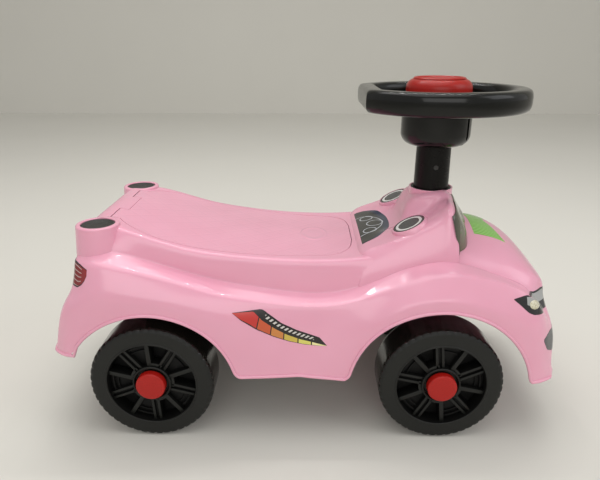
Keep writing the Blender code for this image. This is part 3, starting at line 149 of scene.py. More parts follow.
def tidy(piece, distance=WELD):
    """Welds what touches and turns every face outwards."""
    edit(piece)
    bpy.ops.mesh.remove_doubles(threshold=distance)
    bpy.ops.mesh.normals_make_consistent(inside=False)
    return close(piece)


def capped(piece, distance=0.0):
    """Closes the open edge of a piece with one face, after a weld if one is asked for."""
    edit(piece)
    if distance:
        bpy.ops.mesh.remove_doubles(threshold=distance)
    bpy.ops.mesh.select_all(action="DESELECT")
    bpy.ops.mesh.select_non_manifold()
    bpy.ops.mesh.edge_face_add()
    return tidy(close(piece))


def flipped(piece):
    """Turns every face over."""
    edit(piece)
    bpy.ops.mesh.flip_normals()
    return close(piece)


def apply(piece, kind, **settings):
    modifier = only(piece).modifiers.new(kind.lower(), kind)
    for name, value in settings.items():
        setattr(modifier, name, value)
    bpy.ops.object.modifier_apply(modifier=modifier.name)
    return piece


def cut(piece, *others, operation="DIFFERENCE"):
    """Cuts the others from the piece, or joins or intersects them, and uses them up."""
    for other in others:
        apply(piece, "BOOLEAN", operation=operation, solver="EXACT", object=other)
        bpy.data.objects.remove(other)
    return piece


def together(name, *pieces):
    """Several shells in one object."""
    bpy.ops.object.select_all(action="DESELECT")
    for piece in pieces:
        piece.select_set(True)
    bpy.context.view_layer.objects.active = pieces[0]
    bpy.ops.object.join()
    pieces[0].name = pieces[0].data.name = name
    return pieces[0]


def copy_of(piece, name, matrix=Matrix.Identity(4)):
    """A copy with its own mesh, moved by the matrix, and turned right side out again."""
    twin = piece.copy()
    twin.data = piece.data.copy()
    twin.name = twin.data.name = name
    bpy.context.scene.collection.objects.link(twin)
    twin.data.transform(matrix)
    return flipped(twin) if matrix.determinant() < 0 else twin


TO_LEFT_SIDE = Matrix.Scale(-1, 4, (0, 1, 0))
print("helpers ready")

# %% [markdown]
# Four ways of starting a piece: a net, which is a grid pulled onto rows of points; a rod; a
# plate, which is a flat outline pushed out to a thickness; and a turned piece, which is a
# profile spun about an axis as on a lathe. Almost every moulded or turned part begins as
# one of them, and a few numbers that can be measured describe it.

# %% Nets, rods, plates and turned pieces
TURN = {
    "X": Matrix.Rotation(math.pi / 2, 4, "Y"),
    "Y": Matrix.Rotation(-math.pi / 2, 4, "X"),
    "Z": Matrix.Identity(4),
}
HALF_TURN = Matrix.Rotation(math.pi, 4, "X")


def net(name, rows):
    """A grid whose points are pulled onto the given rows of points."""
    across, along = len(rows[0]), len(rows)
    bpy.ops.object.select_all(action="DESELECT")
    bpy.ops.mesh.primitive_grid_add(x_subdivisions=across - 1, y_subdivisions=along - 1, size=0.1)
    piece = born(name)
    points = [point for row in rows for point in row]
    assert len(points) == len(piece.data.vertices)
    for vert, point in zip(piece.data.vertices, points):
        vert.co = point
    return piece


def rod(name, radius, start, end, centre=(0, 0, 0), axis="Z", steps=64, foot_radius=None):
    bpy.ops.object.select_all(action="DESELECT")
    bpy.ops.mesh.primitive_cone_add(
        vertices=steps, radius1=foot_radius or radius, radius2=radius, depth=end - start,
        location=(0, 0, (start + end) / 2),
    )
    piece = born(name)
    piece.data.transform(Matrix.Translation(centre) @ TURN[axis])
    return piece


def box(name, low, high):
    low, high = Vector(low), Vector(high)
    bpy.ops.object.select_all(action="DESELECT")
    bpy.ops.mesh.primitive_cube_add(size=1.0, location=(low + high) / 2, scale=high - low)
    return born(name)


def plate(name, outline, low, high, upright=False):
    """A flat outline pushed out along Z, or along Y if it stands upright."""
    bpy.ops.object.select_all(action="DESELECT")
    bpy.ops.mesh.primitive_circle_add(vertices=len(outline), radius=0.1, fill_type="NGON")
    piece = born(name)
    for vert, (u, v) in zip(piece.data.vertices, outline):
        vert.co = (u, low, v) if upright else (u, v, low)
    push = (0, high - low, 0) if upright else (0, 0, high - low)
    edit(piece)
    bpy.ops.mesh.extrude_region_move(TRANSFORM_OT_translate={"value": push})
    return tidy(close(piece))


def turned(name, profile, centre=(0, 0, 0), axis="Z", flip=False, steps=64):
    """A profile of (radius, height) spun about the axis. It closes on itself."""
    if profile[0][0] > 0.0:
        profile = profile + [profile[0]]
    bpy.ops.object.select_all(action="DESELECT")
    bpy.ops.mesh.primitive_plane_add(size=0.001)
    piece = born(name)
    edit(piece)
    bpy.ops.mesh.merge(type="CENTER")
    bpy.ops.transform.translate(value=(profile[0][0], 0, profile[0][1]))
    for here, after in zip(profile, profile[1:]):
        step = (after[0] - here[0], 0, after[1] - here[1])
        bpy.ops.mesh.extrude_vertices_move(TRANSFORM_OT_translate={"value": step})
    bpy.ops.mesh.select_all(action="SELECT")
    bpy.ops.mesh.spin(steps=steps, angle=2 * math.pi, center=(0, 0, 0), axis=(0, 0, 1))
    tidy(close(piece))
    turn = TURN[axis] @ (HALF_TURN if flip else Matrix.Identity(4))
    piece.data.transform(Matrix.Translation(centre) @ turn)
    return piece


def corner(centre, radius, start, end, steps=6):
    """Points of a profile's rounded corner, from one angle in degrees to another."""
    angles = [math.radians(start + (end - start) * i / steps) for i in range(steps + 1)]
    return [(centre[0] + radius * math.cos(a), centre[1] + radius * math.sin(a)) for a in angles]


print("ways to start a piece: net, rod, box, plate, turned")

# %% [markdown]
# Colours are written as the sRGB hex values of a paint chart. Blender's shaders want linear
# light, so one function turns one into the other, and a second one adds any node with its
# settings, its values and its links.

# %% Colours and nodes
def linear(hex_colour):
    """The linear RGBA of an sRGB hex value such as E6A4BA."""
    channels = []
    for start in (0, 2, 4):
        value = int(hex_colour[start:start + 2], 16) / 255
        channels.append(value / 12.92 if value <= 0.04045 else ((value + 0.055) / 1.055) ** 2.4)
    return (*channels, 1.0)


def add_node(material, kind, settings, inputs):
    """Adds a node with its settings, and fills its inputs with values or links."""
    tree = material.node_tree
    node = tree.nodes.new(kind)
    for name, value in settings.items():
        setattr(node, name, value)
    for key, value in inputs.items():
        if isinstance(value, bpy.types.NodeSocket):
            tree.links.new(value, node.inputs[key])
        else:
            node.inputs[key].default_value = value
    return node


def new_finish(name, colour, roughness, **values):
    """A material whose plain values are set on its one shader's own sockets."""
    material = bpy.data.materials.new(name)
    material.use_nodes = True
    shader = material.node_tree.nodes["Principled BSDF"]
    shader.inputs["Base Color"].default_value = linear(colour)
    shader.inputs["Roughness"].default_value = roughness
    for socket, value in values.items():
        shader.inputs[socket.replace("_", " ")].default_value = value
    return material


def feed(material, output, socket):
    """Links a node's output to a socket of the material's shader."""
    shader = material.node_tree.nodes["Principled BSDF"]
    material.node_tree.links.new(output, shader.inputs[socket])


print("colour of E6A4BA in linear light:", [round(c, 3) for c in linear("E6A4BA")])

# %% [markdown]
# The body and the lid are polypropylene, injection moulded against polished steel: glossy,
# with a soft skin that lets a little light in and glows pinker where it is thin. A large
# moulding cools unevenly, so its reflections wave gently (every 40 mm or so) and its shade
# drifts by a per cent or two. A finer ripple of about 5 mm breaks up the highlights. One
# flat colour would look like paint; a broad noise and a fine one make it look moulded.

# %% Pink polypropylene
SINK_WAVE = 0.040
SKIN_RIPPLE = 0.005


def make_pink(name):
    """The pink moulding. Returns the material and the socket with its rippled normal."""
    pink = new_finish(
        name, "E8A5BB", 0.22, IOR=1.49, Subsurface_Weight=0.10, Subsurface_Scale=0.003,
        Subsurface_Radius=(1.0, 0.45, 0.5), Coat_Weight=0.4, Coat_Roughness=0.06,
    )
    place = add_node(pink, "ShaderNodeTexCoord", {}, {}).outputs["Object"]
    wave = add_node(pink, "ShaderNodeTexNoise", {}, {
        "Vector": place, "Scale": 1 / SINK_WAVE, "Detail": 1.0})
    shade = add_node(pink, "ShaderNodeMix", {"data_type": "RGBA"}, {
        "Factor": wave.outputs["Fac"], 6: linear("E6A2B8"), 7: linear("EAA8BE")})
    feed(pink, shade.outputs[2], "Base Color")
    gloss = add_node(pink, "ShaderNodeMapRange", {}, {
        "Value": wave.outputs["Fac"], "From Min": 0.3, "From Max": 0.7,
        "To Min": 0.17, "To Max": 0.27})
    feed(pink, gloss.outputs["Result"], "Roughness")
    sink = add_node(pink, "ShaderNodeBump", {}, {
        "Height": wave.outputs["Fac"], "Distance": 0.0004, "Strength": 0.5})
    ripple = add_node(pink, "ShaderNodeTexNoise", {}, {
        "Vector": place, "Scale": 1 / SKIN_RIPPLE, "Detail": 2.0})
    skin = add_node(pink, "ShaderNodeBump", {}, {
        "Height": ripple.outputs["Fac"], "Distance": 0.00004, "Strength": 0.6,
        "Normal": sink.outputs["Normal"]})
    feed(pink, skin.outputs["Normal"], "Normal")
    return pink, skin.outputs["Normal"]


PINK = make_pink("pink_polypropylene_gloss")[0]
print("made", PINK.name)

# %% [markdown]
# The seat lid is the same plastic with a faint pattern of diamonds moulded into it, 18 mm
# from corner to corner and a fifth of a millimetre high. Two sets of slanting waves, one
# each way, are laid over each other, and where either is high a groove is pressed in on
# top of the pink's ripple. So low a pattern would need a very fine mesh if it were
# modelled, so only the shading of the surface rises and falls.

# %% Pink polypropylene with moulded diamonds
DIAMOND = 0.018
DIAMOND_HEIGHT = 0.0002
DIAMOND_SLANT = math.radians(50)
# A Wave texture repeats every 0.314 / Scale metres
WAVE_UNIT = 0.314

LID_PINK, lid_normal = make_pink("pink_polypropylene_diamond_grain")
lid_place = add_node(LID_PINK, "ShaderNodeTexCoord", {}, {}).outputs["Object"]
lid_slants = []
for turn in (DIAMOND_SLANT, -DIAMOND_SLANT):
    slanted = add_node(LID_PINK, "ShaderNodeMapping", {}, {
        "Vector": lid_place, "Rotation": (0, 0, turn)})
    lid_slants.append(add_node(LID_PINK, "ShaderNodeTexWave", {
        "wave_type": "BANDS", "bands_direction": "X", "wave_profile": "SIN"}, {
        "Vector": slanted.outputs["Vector"], "Scale": WAVE_UNIT / DIAMOND, "Distortion": 0.0}))
diamonds = add_node(LID_PINK, "ShaderNodeMath", {"operation": "MAXIMUM"}, {
    0: lid_slants[0].outputs["Fac"], 1: lid_slants[1].outputs["Fac"]})
grooves = add_node(LID_PINK, "ShaderNodeMapRange", {}, {
    "Value": diamonds.outputs["Value"], "From Min": 0.90, "From Max": 1.0,
    "To Min": 1.0, "To Max": 0.0})
quilt = add_node(LID_PINK, "ShaderNodeBump", {}, {
    "Height": grooves.outputs["Result"], "Distance": DIAMOND_HEIGHT, "Strength": 0.45,
    "Normal": lid_normal})
feed(LID_PINK, quilt.outputs["Normal"], "Normal")
print("made", LID_PINK.name)

# %% [markdown]
# The black parts are of three kinds. The wheels are blown from black polyethylene: their
# faces are a soft satin with a fine grain of under a millimetre, their treads shine. The
# steering wheel, its cup and the column are glossy moulded ABS. What is out of sight, such
# as the storage box and the axle holders, is plain satin polypropylene. One function
# makes them all, because they differ only in shade, in gloss and in the size of the grain.

# %% Black plastics
FACE_GRAIN = 0.0009


def make_black(name, colour, low, high, grain, height, **values):
    """A black plastic whose roughness and skin follow one noise of the given grain."""
    black = new_finish(name, colour, (low + high) / 2, **values)
    place = add_node(black, "ShaderNodeTexCoord", {}, {}).outputs["Object"]
    noise = add_node(black, "ShaderNodeTexNoise", {}, {
        "Vector": place, "Scale": 1 / grain, "Detail": 3.0})
    gloss = add_node(black, "ShaderNodeMapRange", {}, {
        "Value": noise.outputs["Fac"], "From Min": 0.3, "From Max": 0.7,
        "To Min": low, "To Max": high})
    feed(black, gloss.outputs["Result"], "Roughness")
    skin = add_node(black, "ShaderNodeBump", {}, {
        "Height": noise.outputs["Fac"], "Distance": height, "Strength": 0.5})
    feed(black, skin.outputs["Normal"], "Normal")
    return black


WHEEL_FACE = make_black("black_polyethylene_satin", "141512", 0.42, 0.55, FACE_GRAIN, 0.00006,
                        Specular_IOR_Level=0.35)
# A darker, duller copy of the wheel's black, for the faces deep in its dish: painted shade.
WHEEL_PAINTED_SHADE = make_black("black_polyethylene_painted_shade", "0D0D0C", 0.5, 0.6, FACE_GRAIN, 0.00006,
                        Specular_IOR_Level=0.2)
WHEEL_TREAD = make_black("black_polyethylene_gloss", "1B1815", 0.14, 0.24, 0.012, 0.0002)
GLOSS_BLACK = make_black("black_abs_gloss", "0B0C09", 0.14, 0.22, 0.010, 0.00012, IOR=1.53,
                         Specular_IOR_Level=0.22, Coat_Weight=0.2, Coat_Roughness=0.04)
COLUMN_BLACK = make_black("black_abs_drawn", "0D0B09", 0.26, 0.36, 0.006, 0.00005, IOR=1.53,
                          Specular_IOR_Level=0.15)
HIDDEN_BLACK = make_black("black_polypropylene_satin", "252522", 0.45, 0.60, 0.0015, 0.0001)
print("made six black plastics")

# %% [markdown]
# The caps on the tail pillars imitate exhaust pipes: black discs with a coarse moulded
# grain, about a millimetre and a half, which catches the light in grey specks. The grain
# could be a displaced mesh; the cells of a Voronoi pattern, as bump and as grey specks in the
# colour, partly the grain's own tone and partly painted glints, show the same specks from here.

# %% Grained black
CAP_GRAIN = 0.0016

CAP_BLACK = new_finish("black_polypropylene_grained", "1D1E1B", 0.5)
cap_place = add_node(CAP_BLACK, "ShaderNodeTexCoord", {}, {}).outputs["Object"]
cap_cells = add_node(CAP_BLACK, "ShaderNodeTexVoronoi", {}, {
    "Vector": cap_place, "Scale": 1 / CAP_GRAIN})
# Lighter cell middles: partly the grain's own tone, partly painted glints of the lamps.
cap_grain_and_painted_glints = add_node(CAP_BLACK, "ShaderNodeMix", {"data_type": "RGBA"}, {
    "Factor": cap_cells.outputs["Distance"], 6: linear("30312E"), 7: linear("0F100E")})
feed(CAP_BLACK, cap_grain_and_painted_glints.outputs[2], "Base Color")
cap_skin = add_node(CAP_BLACK, "ShaderNodeBump", {}, {
    "Height": cap_cells.outputs["Distance"], "Distance": 0.0005, "Strength": 0.8})
feed(CAP_BLACK, cap_skin.outputs["Normal"], "Normal")
print("made", CAP_BLACK.name)

# %% [markdown]
# The horn button and the hub caps are bright red ABS. The button's sloping shoulder has a
# fine spark grain from its mould that glitters under the lamps. The real grain is a few
# tenths of a millimetre and would vanish in the picture, so it is drawn about a millimetre
# coarse. One function makes both reds: they differ in shade and in the height of the grain.

# %% Red ABS
BUTTON_GRAIN = 0.0011


def make_red(name, colour, roughness, height):
    """A red whose shade and skin follow one fine noise."""
    red = new_finish(name, colour, roughness, IOR=1.53, Specular_IOR_Level=0.3,
                     Subsurface_Weight=0.05, Subsurface_Scale=0.002,
                     Subsurface_Radius=(1.0, 0.2, 0.1))
    place = add_node(red, "ShaderNodeTexCoord", {}, {}).outputs["Object"]
    noise = add_node(red, "ShaderNodeTexNoise", {}, {
        "Vector": place, "Scale": 1 / BUTTON_GRAIN, "Detail": 1.0})
    shade = add_node(red, "ShaderNodeMix", {"data_type": "RGBA"}, {
        "Factor": noise.outputs["Fac"], 6: linear("8E140C"), 7: linear(colour)})
    feed(red, shade.outputs[2], "Base Color")
    skin = add_node(red, "ShaderNodeBump", {}, {
        "Height": noise.outputs["Fac"], "Distance": height, "Strength": 0.5})
    feed(red, skin.outputs["Normal"], "Normal")
    return red


BUTTON_RED = make_red("red_abs_spark_grained", "B01C12", 0.30, 0.00016)
CAP_RED = make_red("red_abs_satin", "BE1E18", 0.36, 0.00003)
print("made two reds")

# %% [markdown]
# Axles, screws, washers and the spring are steel with a thin zinc plating. The plating is
# slightly cloudy, so its roughness and its shade drift together over a few millimetres.

# %% Zinc-plated steel
ZINC_CLOUD = 0.003

ZINC = new_finish("zinc_plated_steel", "B9BBBE", 0.34, Metallic=1.0)
zinc_place = add_node(ZINC, "ShaderNodeTexCoord", {}, {}).outputs["Object"]
zinc_cloud = add_node(ZINC, "ShaderNodeTexNoise", {}, {
    "Vector": zinc_place, "Scale": 1 / ZINC_CLOUD, "Detail": 3.0})
zinc_gloss = add_node(ZINC, "ShaderNodeMapRange", {}, {
    "Value": zinc_cloud.outputs["Fac"], "To Min": 0.24, "To Max": 0.46})
feed(ZINC, zinc_gloss.outputs["Result"], "Roughness")
zinc_shade = add_node(ZINC, "ShaderNodeMix", {"data_type": "RGBA"}, {
    "Factor": zinc_cloud.outputs["Fac"], 6: linear("AAADB2"), 7: linear("C6C8C9")})
feed(ZINC, zinc_shade.outputs[2], "Base Color")
print("made", ZINC.name)

# %% [markdown]
# The windscreen is a thin sheet of smoked styrene behind the cowl. It is nearly opaque, a
# dark grey green, painted paler towards its front, where it turns to the light: painted
# light. It could be see-through, but the cowl is right behind it, so two shades along X,
# the dark one and the painted lighter one, are enough.

# %% Smoked styrene
PAINTED_LIGHT_FROM_X, PAINTED_LIGHT_TO_X = 0.152, 0.168

SMOKED = new_finish("smoked_styrene_gloss", "3A3F37", 0.10, IOR=1.59)
smoke_place = add_node(SMOKED, "ShaderNodeTexCoord", {}, {}).outputs["Object"]
smoke_axes = add_node(SMOKED, "ShaderNodeSeparateXYZ", {}, {"Vector": smoke_place})
# Along X the colour turns paler: painted light where the sheet faces the lamps.
smoke_painted_light_share = add_node(SMOKED, "ShaderNodeMapRange", {}, {
    "Value": smoke_axes.outputs["X"], "From Min": PAINTED_LIGHT_FROM_X, "From Max": PAINTED_LIGHT_TO_X})
smoke_painted_light = add_node(SMOKED, "ShaderNodeMix", {"data_type": "RGBA"}, {
    "Factor": smoke_painted_light_share.outputs["Result"], 6: linear("3A3A30"), 7: linear("6C6A56")})
feed(SMOKED, smoke_painted_light.outputs[2], "Base Color")
print("made", SMOKED.name)

# %% [markdown]
# The body is one moulding. Its shape is drawn as rings that run round the car from the
# shoulder of its top down to its hem, each a list of (x, half width, z) from tail to nose.
# The second and third rings make the sharp valley between seat and fender, the fourth the
# soft crease along the fender. Only half is drawn: the car is symmetrical. It could be
# sculpted or carved from boxes, but each ring is a line that shows in the photograph, so
# its numbers can be measured and mended one at a time.

# %% The rings of the body
STATIONS = [-0.185, -0.138, -0.095, -0.050, 0.000, 0.050, 0.100, 0.150, 0.200]
SHOULDER = [
    (-0.2370, 0.078, 0.2365), (-0.215, 0.082, 0.2355), (-0.190, 0.0905, 0.2295),
    (-0.150, 0.093, 0.2155), (-0.100, 0.0925, 0.2055), (-0.050, 0.0905, 0.1995),
    (0.000, 0.089, 0.1965), (0.045, 0.0875, 0.1975), (0.070, 0.085, 0.200),
    (0.100, 0.082, 0.203), (0.140, 0.080, 0.206), (0.165, 0.0795, 0.2035),
    (0.190, 0.082, 0.195), (0.220, 0.084, 0.185), (0.250, 0.086, 0.1765),
    (0.2660, 0.084, 0.1690),
]
BAND = [
    (-0.2430, 0.090, 0.2240), (-0.215, 0.0945, 0.2215), (-0.190, 0.095, 0.215),
    (-0.150, 0.0965, 0.2035), (-0.100, 0.0955, 0.192), (-0.050, 0.0935, 0.183),
    (0.000, 0.0925, 0.177), (0.045, 0.0915, 0.178), (0.070, 0.091, 0.184),
    (0.100, 0.090, 0.192), (0.140, 0.089, 0.197), (0.165, 0.0885, 0.194),
    (0.190, 0.0905, 0.187), (0.220, 0.0935, 0.179), (0.250, 0.096, 0.168),
    (0.2665, 0.097, 0.159),
]
VALLEY = [
    (-0.2475, 0.1030, 0.214), (-0.207, 0.0985, 0.2130), (-0.178, 0.097, 0.2025),
    (-0.149, 0.097, 0.1935), (-0.1177, 0.0965, 0.183), (-0.0748, 0.0955, 0.173),
    (-0.0076, 0.094, 0.1625), (0.0337, 0.0935, 0.1635), (0.068, 0.093, 0.1745),
    (0.0972, 0.0925, 0.188), (0.140, 0.092, 0.200), (0.165, 0.0915, 0.1975),
    (0.190, 0.0935, 0.1895), (0.220, 0.097, 0.180), (0.250, 0.100, 0.162),
    (0.2685, 0.106, 0.149),
]
CREST = [
    (-0.2535, 0.118, 0.203), (-0.220, 0.1185, 0.2045), (-0.190, 0.118, 0.1985),
    (-0.150, 0.118, 0.1885), (-0.120, 0.1175, 0.1795), (-0.095, 0.1165, 0.170),
    (-0.070, 0.115, 0.1635), (-0.030, 0.1135, 0.158), (0.010, 0.113, 0.1545),
    (0.040, 0.1125, 0.158), (0.070, 0.1125, 0.1685), (0.100, 0.113, 0.182),
    (0.130, 0.1135, 0.1915), (0.160, 0.1135, 0.194), (0.190, 0.114, 0.188),
    (0.220, 0.115, 0.177), (0.250, 0.113, 0.157), (0.2740, 0.115, 0.136),
]
FLANK = [
    (-0.2595, 0.1265, 0.174), (-0.235, 0.1285, 0.179), (-0.190, 0.1285, 0.176),
    (-0.150, 0.1285, 0.171), (-0.110, 0.1275, 0.158), (-0.080, 0.1245, 0.142),
    (-0.030, 0.1205, 0.130), (0.010, 0.120, 0.127), (0.040, 0.1205, 0.131),
    (0.070, 0.1225, 0.147), (0.100, 0.1255, 0.165), (0.140, 0.1275, 0.174),
    (0.170, 0.1275, 0.171), (0.200, 0.127, 0.160), (0.230, 0.1255, 0.145),
    (0.255, 0.123, 0.132), (0.2795, 0.121, 0.118),
]
SKIRT = [
    (-0.2730, 0.1295, 0.149), (-0.240, 0.1300, 0.151), (-0.190, 0.1305, 0.152),
    (-0.150, 0.1305, 0.149), (-0.110, 0.1295, 0.130), (-0.080, 0.1275, 0.110),
    (-0.030, 0.1255, 0.1005), (0.010, 0.1255, 0.099), (0.040, 0.126, 0.101),
    (0.070, 0.1275, 0.122), (0.100, 0.129, 0.145), (0.140, 0.130, 0.153),
    (0.170, 0.130, 0.150), (0.200, 0.1295, 0.137), (0.230, 0.1280, 0.115),
    (0.260, 0.126, 0.100), (0.2810, 0.125, 0.094),
]
HEM = [
    (-0.2845, 0.130, 0.1035), (-0.250, 0.1305, 0.101), (-0.200, 0.130, 0.092),
    (-0.120, 0.130, 0.078), (-0.080, 0.129, 0.0765), (-0.010, 0.1285, 0.0805),
    (0.037, 0.1285, 0.0745), (0.100, 0.1295, 0.072), (0.200, 0.130, 0.0705),
    (0.255, 0.128, 0.0705), (0.2849, 0.127, 0.073),
]
# Each ring with its corners' radius, and how far its rear and front ends bow out
RINGS = [
    (SHOULDER, 0.022, 0.000, 0.003), (BAND, 0.028, 0.001, 0.004),
    (VALLEY, 0.030, 0.002, 0.005), (CREST, 0.031, 0.003, 0.006),
    (FLANK, 0.032, 0.004, 0.008), (SKIRT, 0.032, 0.004, 0.009), (HEM, 0.032, 0.004, 0.010),
]
# The centre line of the top, from the tail over the seat and the bonnet: (x, z)
CENTRE_LINE = [
    (-0.2370, 0.2370), (-0.2095, 0.2370), (-0.190, 0.2315), (-0.150, 0.2185),
    (-0.100, 0.2085), (-0.050, 0.202), (0.000, 0.199), (0.045, 0.1995),
    (0.070, 0.203), (0.100, 0.210), (0.140, 0.217), (0.165, 0.2215),
    (0.184, 0.2230), (0.200, 0.2200), (0.220, 0.2125), (0.2345, 0.2045),
    (0.250, 0.1925), (0.2670, 0.1745),
]
BONNET_START_X = 0.120
print("rings:", len(RINGS), "points along the side:", len(STATIONS) + 2)

# %% [markdown]
# Each ring becomes one row of a net: three points for the tail's rounded corner, the
# stations along the side, and three points for the nose. A second net covers the top. The
# two are welded along the shoulder into a coarse cage with large square faces. A cage is
# chosen because a few points then steer a large smooth surface without dents.

# %% The cage
def at(points, x, column):
    """The value in a column of the points, between the two on either side of x."""
    for low, high in zip(points, points[1:]):
        if x <= high[0]:
            share = max((x - low[0]) / (high[0] - low[0]), 0.0)
            return low[column] + share * (high[column] - low[column])
    return points[-1][column]


def ring_end(ring, radius, bow, end):
    """The middle of a ring's end, and the start and the peak of its corner."""
    x, half_width, z = ring[0] if end < 0 else ring[-1]
    cut_in = radius * (1 - math.sqrt(0.5))
    return [
        Vector((x, 0.0, z)), Vector((x - end * bow, radius - half_width, z)),
        Vector((x - end * (bow + cut_in), cut_in - half_width, z)),
    ]


def ring_row(ring, radius, rear_bow, front_bow):
    """From the middle of the tail, along the right side, to the middle of the nose."""
    places = [ring[0][0] + rear_bow + radius] + STATIONS + [ring[-1][0] - front_bow - radius]
    side = [Vector((x, -at(ring, x, 1), at(ring, x, 2))) for x in places]
    return ring_end(ring, radius, rear_bow, -1) + side + ring_end(ring, radius, front_bow, 1)[::-1]


def top_point(shoulder, share):
    """A point of the top at a share of the shoulder's half width."""
    power = 2.0 if shoulder.x > BONNET_START_X else 4.0
    rise = at(CENTRE_LINE, shoulder.x, 1) - shoulder.z
    return Vector((shoulder.x, shoulder.y * share, shoulder.z + rise * (1 - share ** power)))


body_rows = [ring_row(*ring) for ring in RINGS]
shoulder_row = body_rows[0]
top_rows = []
for i in range(2):
    share = shoulder_row[i].y / shoulder_row[2].y
    middle = [top_point(point, share) for point in shoulder_row[3:-3]]
    top_rows.append([shoulder_row[i]] + middle + [shoulder_row[-1 - i]])
top_rows.append(shoulder_row[2:-2])


def creased(piece, members, weight):
    """Sharpens the edges that join any two of the points with these numbers."""
    layers = piece.data.attributes
    layer = layers.get("crease_edge") or layers.new("crease_edge", "FLOAT", "EDGE")
    for edge in piece.data.edges:
        if set(edge.vertices) <= set(members):
            layer.data[edge.index].value = weight


# How sharp the valley (row 2) and the crest (row 3) stay when the body is rounded
ROW_CREASES = [(2, 0.90), (3, 0.65)]


def body_cage(name):
    sides = net(name, body_rows)
    for row, weight in ROW_CREASES:
        creased(sides, range(row * len(shoulder_row), (row + 1) * len(shoulder_row)), weight)
    return tidy(together(name, sides, net("cage_top", top_rows)))


cage = body_cage("body_cage")
print("cage:", len(cage.data.polygons), "faces")

# %% [markdown]
# The cage is mirrored and rounded by a Subdivision Surface. Rounding pulls a surface inside
# its cage, so the cage is moved out, a few times, by what its points miss: the finished
# surface then passes through the drawn points and keeps the car's measured size.

# %% Round the cage
SETTLING_ROUNDS = 4


def rounded(piece, levels):
    """Mirrors and rounds a cage so that the surface passes through the cage's points."""
    mirror = only(piece).modifiers.new("mirror", "MIRROR")
    mirror.use_axis = (False, True, False)
    mirror.merge_threshold = 0.0001
    rounding = piece.modifiers.new("rounding", "SUBSURF")
    rounding.levels = rounding.render_levels = levels
    targets = [vert.co.copy() for vert in piece.data.vertices]
    for settling in range(SETTLING_ROUNDS):
        bpy.context.view_layer.update()
        surface = piece.evaluated_get(bpy.context.evaluated_depsgraph_get()).data
        misses = [target - surface.vertices[i].co for i, target in enumerate(targets)]
        for vert, miss in zip(piece.data.vertices, misses):
            vert.co += miss
        piece.data.update()
    for modifier in (mirror, rounding):
        bpy.ops.object.modifier_apply(modifier=modifier.name)
    return piece


def grown(piece, distance):
    """The piece with its surface moved out along its normals."""
    return apply(piece, "DISPLACE", strength=distance, mid_level=0.0)


def to_floor(piece):
    """Pulls the open hem of a surface down to the floor and closes it there."""
    edit(piece)
    bpy.ops.mesh.select_all(action="DESELECT")
    bpy.ops.mesh.select_non_manifold()
    bpy.ops.mesh.extrude_edges_move()
    bpy.ops.transform.resize(value=(1, 1, 0), center_override=(0, 0, 0))
    bpy.ops.mesh.edge_face_add()
    return tidy(close(piece))


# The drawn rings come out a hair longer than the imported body, bead and all
FIT_LENGTH = 0.9993
skin = rounded(cage, 3)
skin.data.transform(Matrix.Scale(FIT_LENGTH, 4, (1, 0, 0)))
BODY_WALL = 0.003
body = to_floor(copy_of(skin, "body_shell_moulding"))
inside = to_floor(grown(rounded(body_cage("body_inside"), 2), -BODY_WALL))
print("outside:", len(body.data.polygons), "faces, inside:", len(inside.data.polygons))

# %% [markdown]
# The cowl rises in front of the rider and carries the steering column between two wings.
# It is a second net, of rows that run from the seat over the cowl to the bonnet: a row of
# points down the trough, one along each wing, and one along its outer edge. The wing's
# outer edge is creased so that the side of the cowl meets it in a clear line. It could be
# pulled up out of the body's cage, but each row it needs would then run round the car.

# %% The cowl
COWL_TROUGH = [
    (0.052, 0.165), (0.0545, 0.2005), (0.080, 0.2125), (0.105, 0.2225),
    (0.1175, 0.2480), (0.143, 0.2582), (0.163, 0.2568), (0.1745, 0.2390),
    (0.184, 0.2195), (0.186, 0.165),
]
COWL_WING = [
    (0.052, 0.165), (0.0550, 0.2003), (0.080, 0.2130), (0.108, 0.2270),
    (0.131, 0.2390), (0.145, 0.2490), (0.157, 0.2545), (0.168, 0.2365),
    (0.1765, 0.2130), (0.178, 0.165),
]
COWL_EDGE = [
    (0.054, 0.165), (0.0570, 0.1990), (0.080, 0.2130), (0.108, 0.2235),
    (0.130, 0.2330), (0.1435, 0.2410), (0.1515, 0.2465), (0.161, 0.2300),
    (0.160, 0.2080), (0.160, 0.165),
]
# Each column: its rows, half width, shift of the front rows in x, drop towards the foot
COWL_COLUMNS = [
    (COWL_TROUGH, 0.000, 0.000, 0.0), (COWL_TROUGH, 0.028, -0.003, 0.0),
    (COWL_WING, 0.041, 0.002, 0.0), (COWL_WING, 0.065, -0.003, 0.0),
    (COWL_EDGE, 0.0790, 0.000, 0.0), (COWL_EDGE, 0.0905, -0.001, 0.45),
    (COWL_EDGE, 0.0945, -0.001, 1.0),
]
COWL_CREASED = 4
COWL_FOOT_Z, COWL_HOLLOW_FOOT_Z = 0.165, 0.120


def cowl_point(row, column, inset):
    points, half_width, shift, drop = column
    x, z = points[row]
    last = len(points) - 1
    if row in (0, last) or drop >= 1.0:
        z = COWL_HOLLOW_FOOT_Z if inset else COWL_FOOT_Z
    else:
        z += (COWL_FOOT_Z - z) * drop - inset
    if row <= 1:
        x += inset
    elif row >= last - 3:
        x += shift - inset
    return Vector((x, inset - half_width if half_width else 0.0, z))


def cowl(name, levels=3, inset=0.0):
    """The cowl as a closed lump that reaches down into the body."""
    rows = [[cowl_point(row, column, inset) for column in COWL_COLUMNS]
            for row in range(len(COWL_TROUGH))]
    lump = net(name, rows)
    creased(lump, range(COWL_CREASED, len(lump.data.vertices), len(COWL_COLUMNS)), 0.55)
    return capped(rounded(lump, levels))


cowl_outside = cowl("cowl")
print("cowl:", len(cowl_outside.data.polygons), "faces")

# %% [markdown]
# Round things grow out of the body: two pillars at the tail that look like exhaust pipes,
# and two low pods that carry the speakers. Each is a turned piece with rounded rims, so
# that its edge shines, and is joined to the body by a Boolean. A profile is chosen over a
# bevelled cylinder because it holds each rounding exactly where it is drawn.

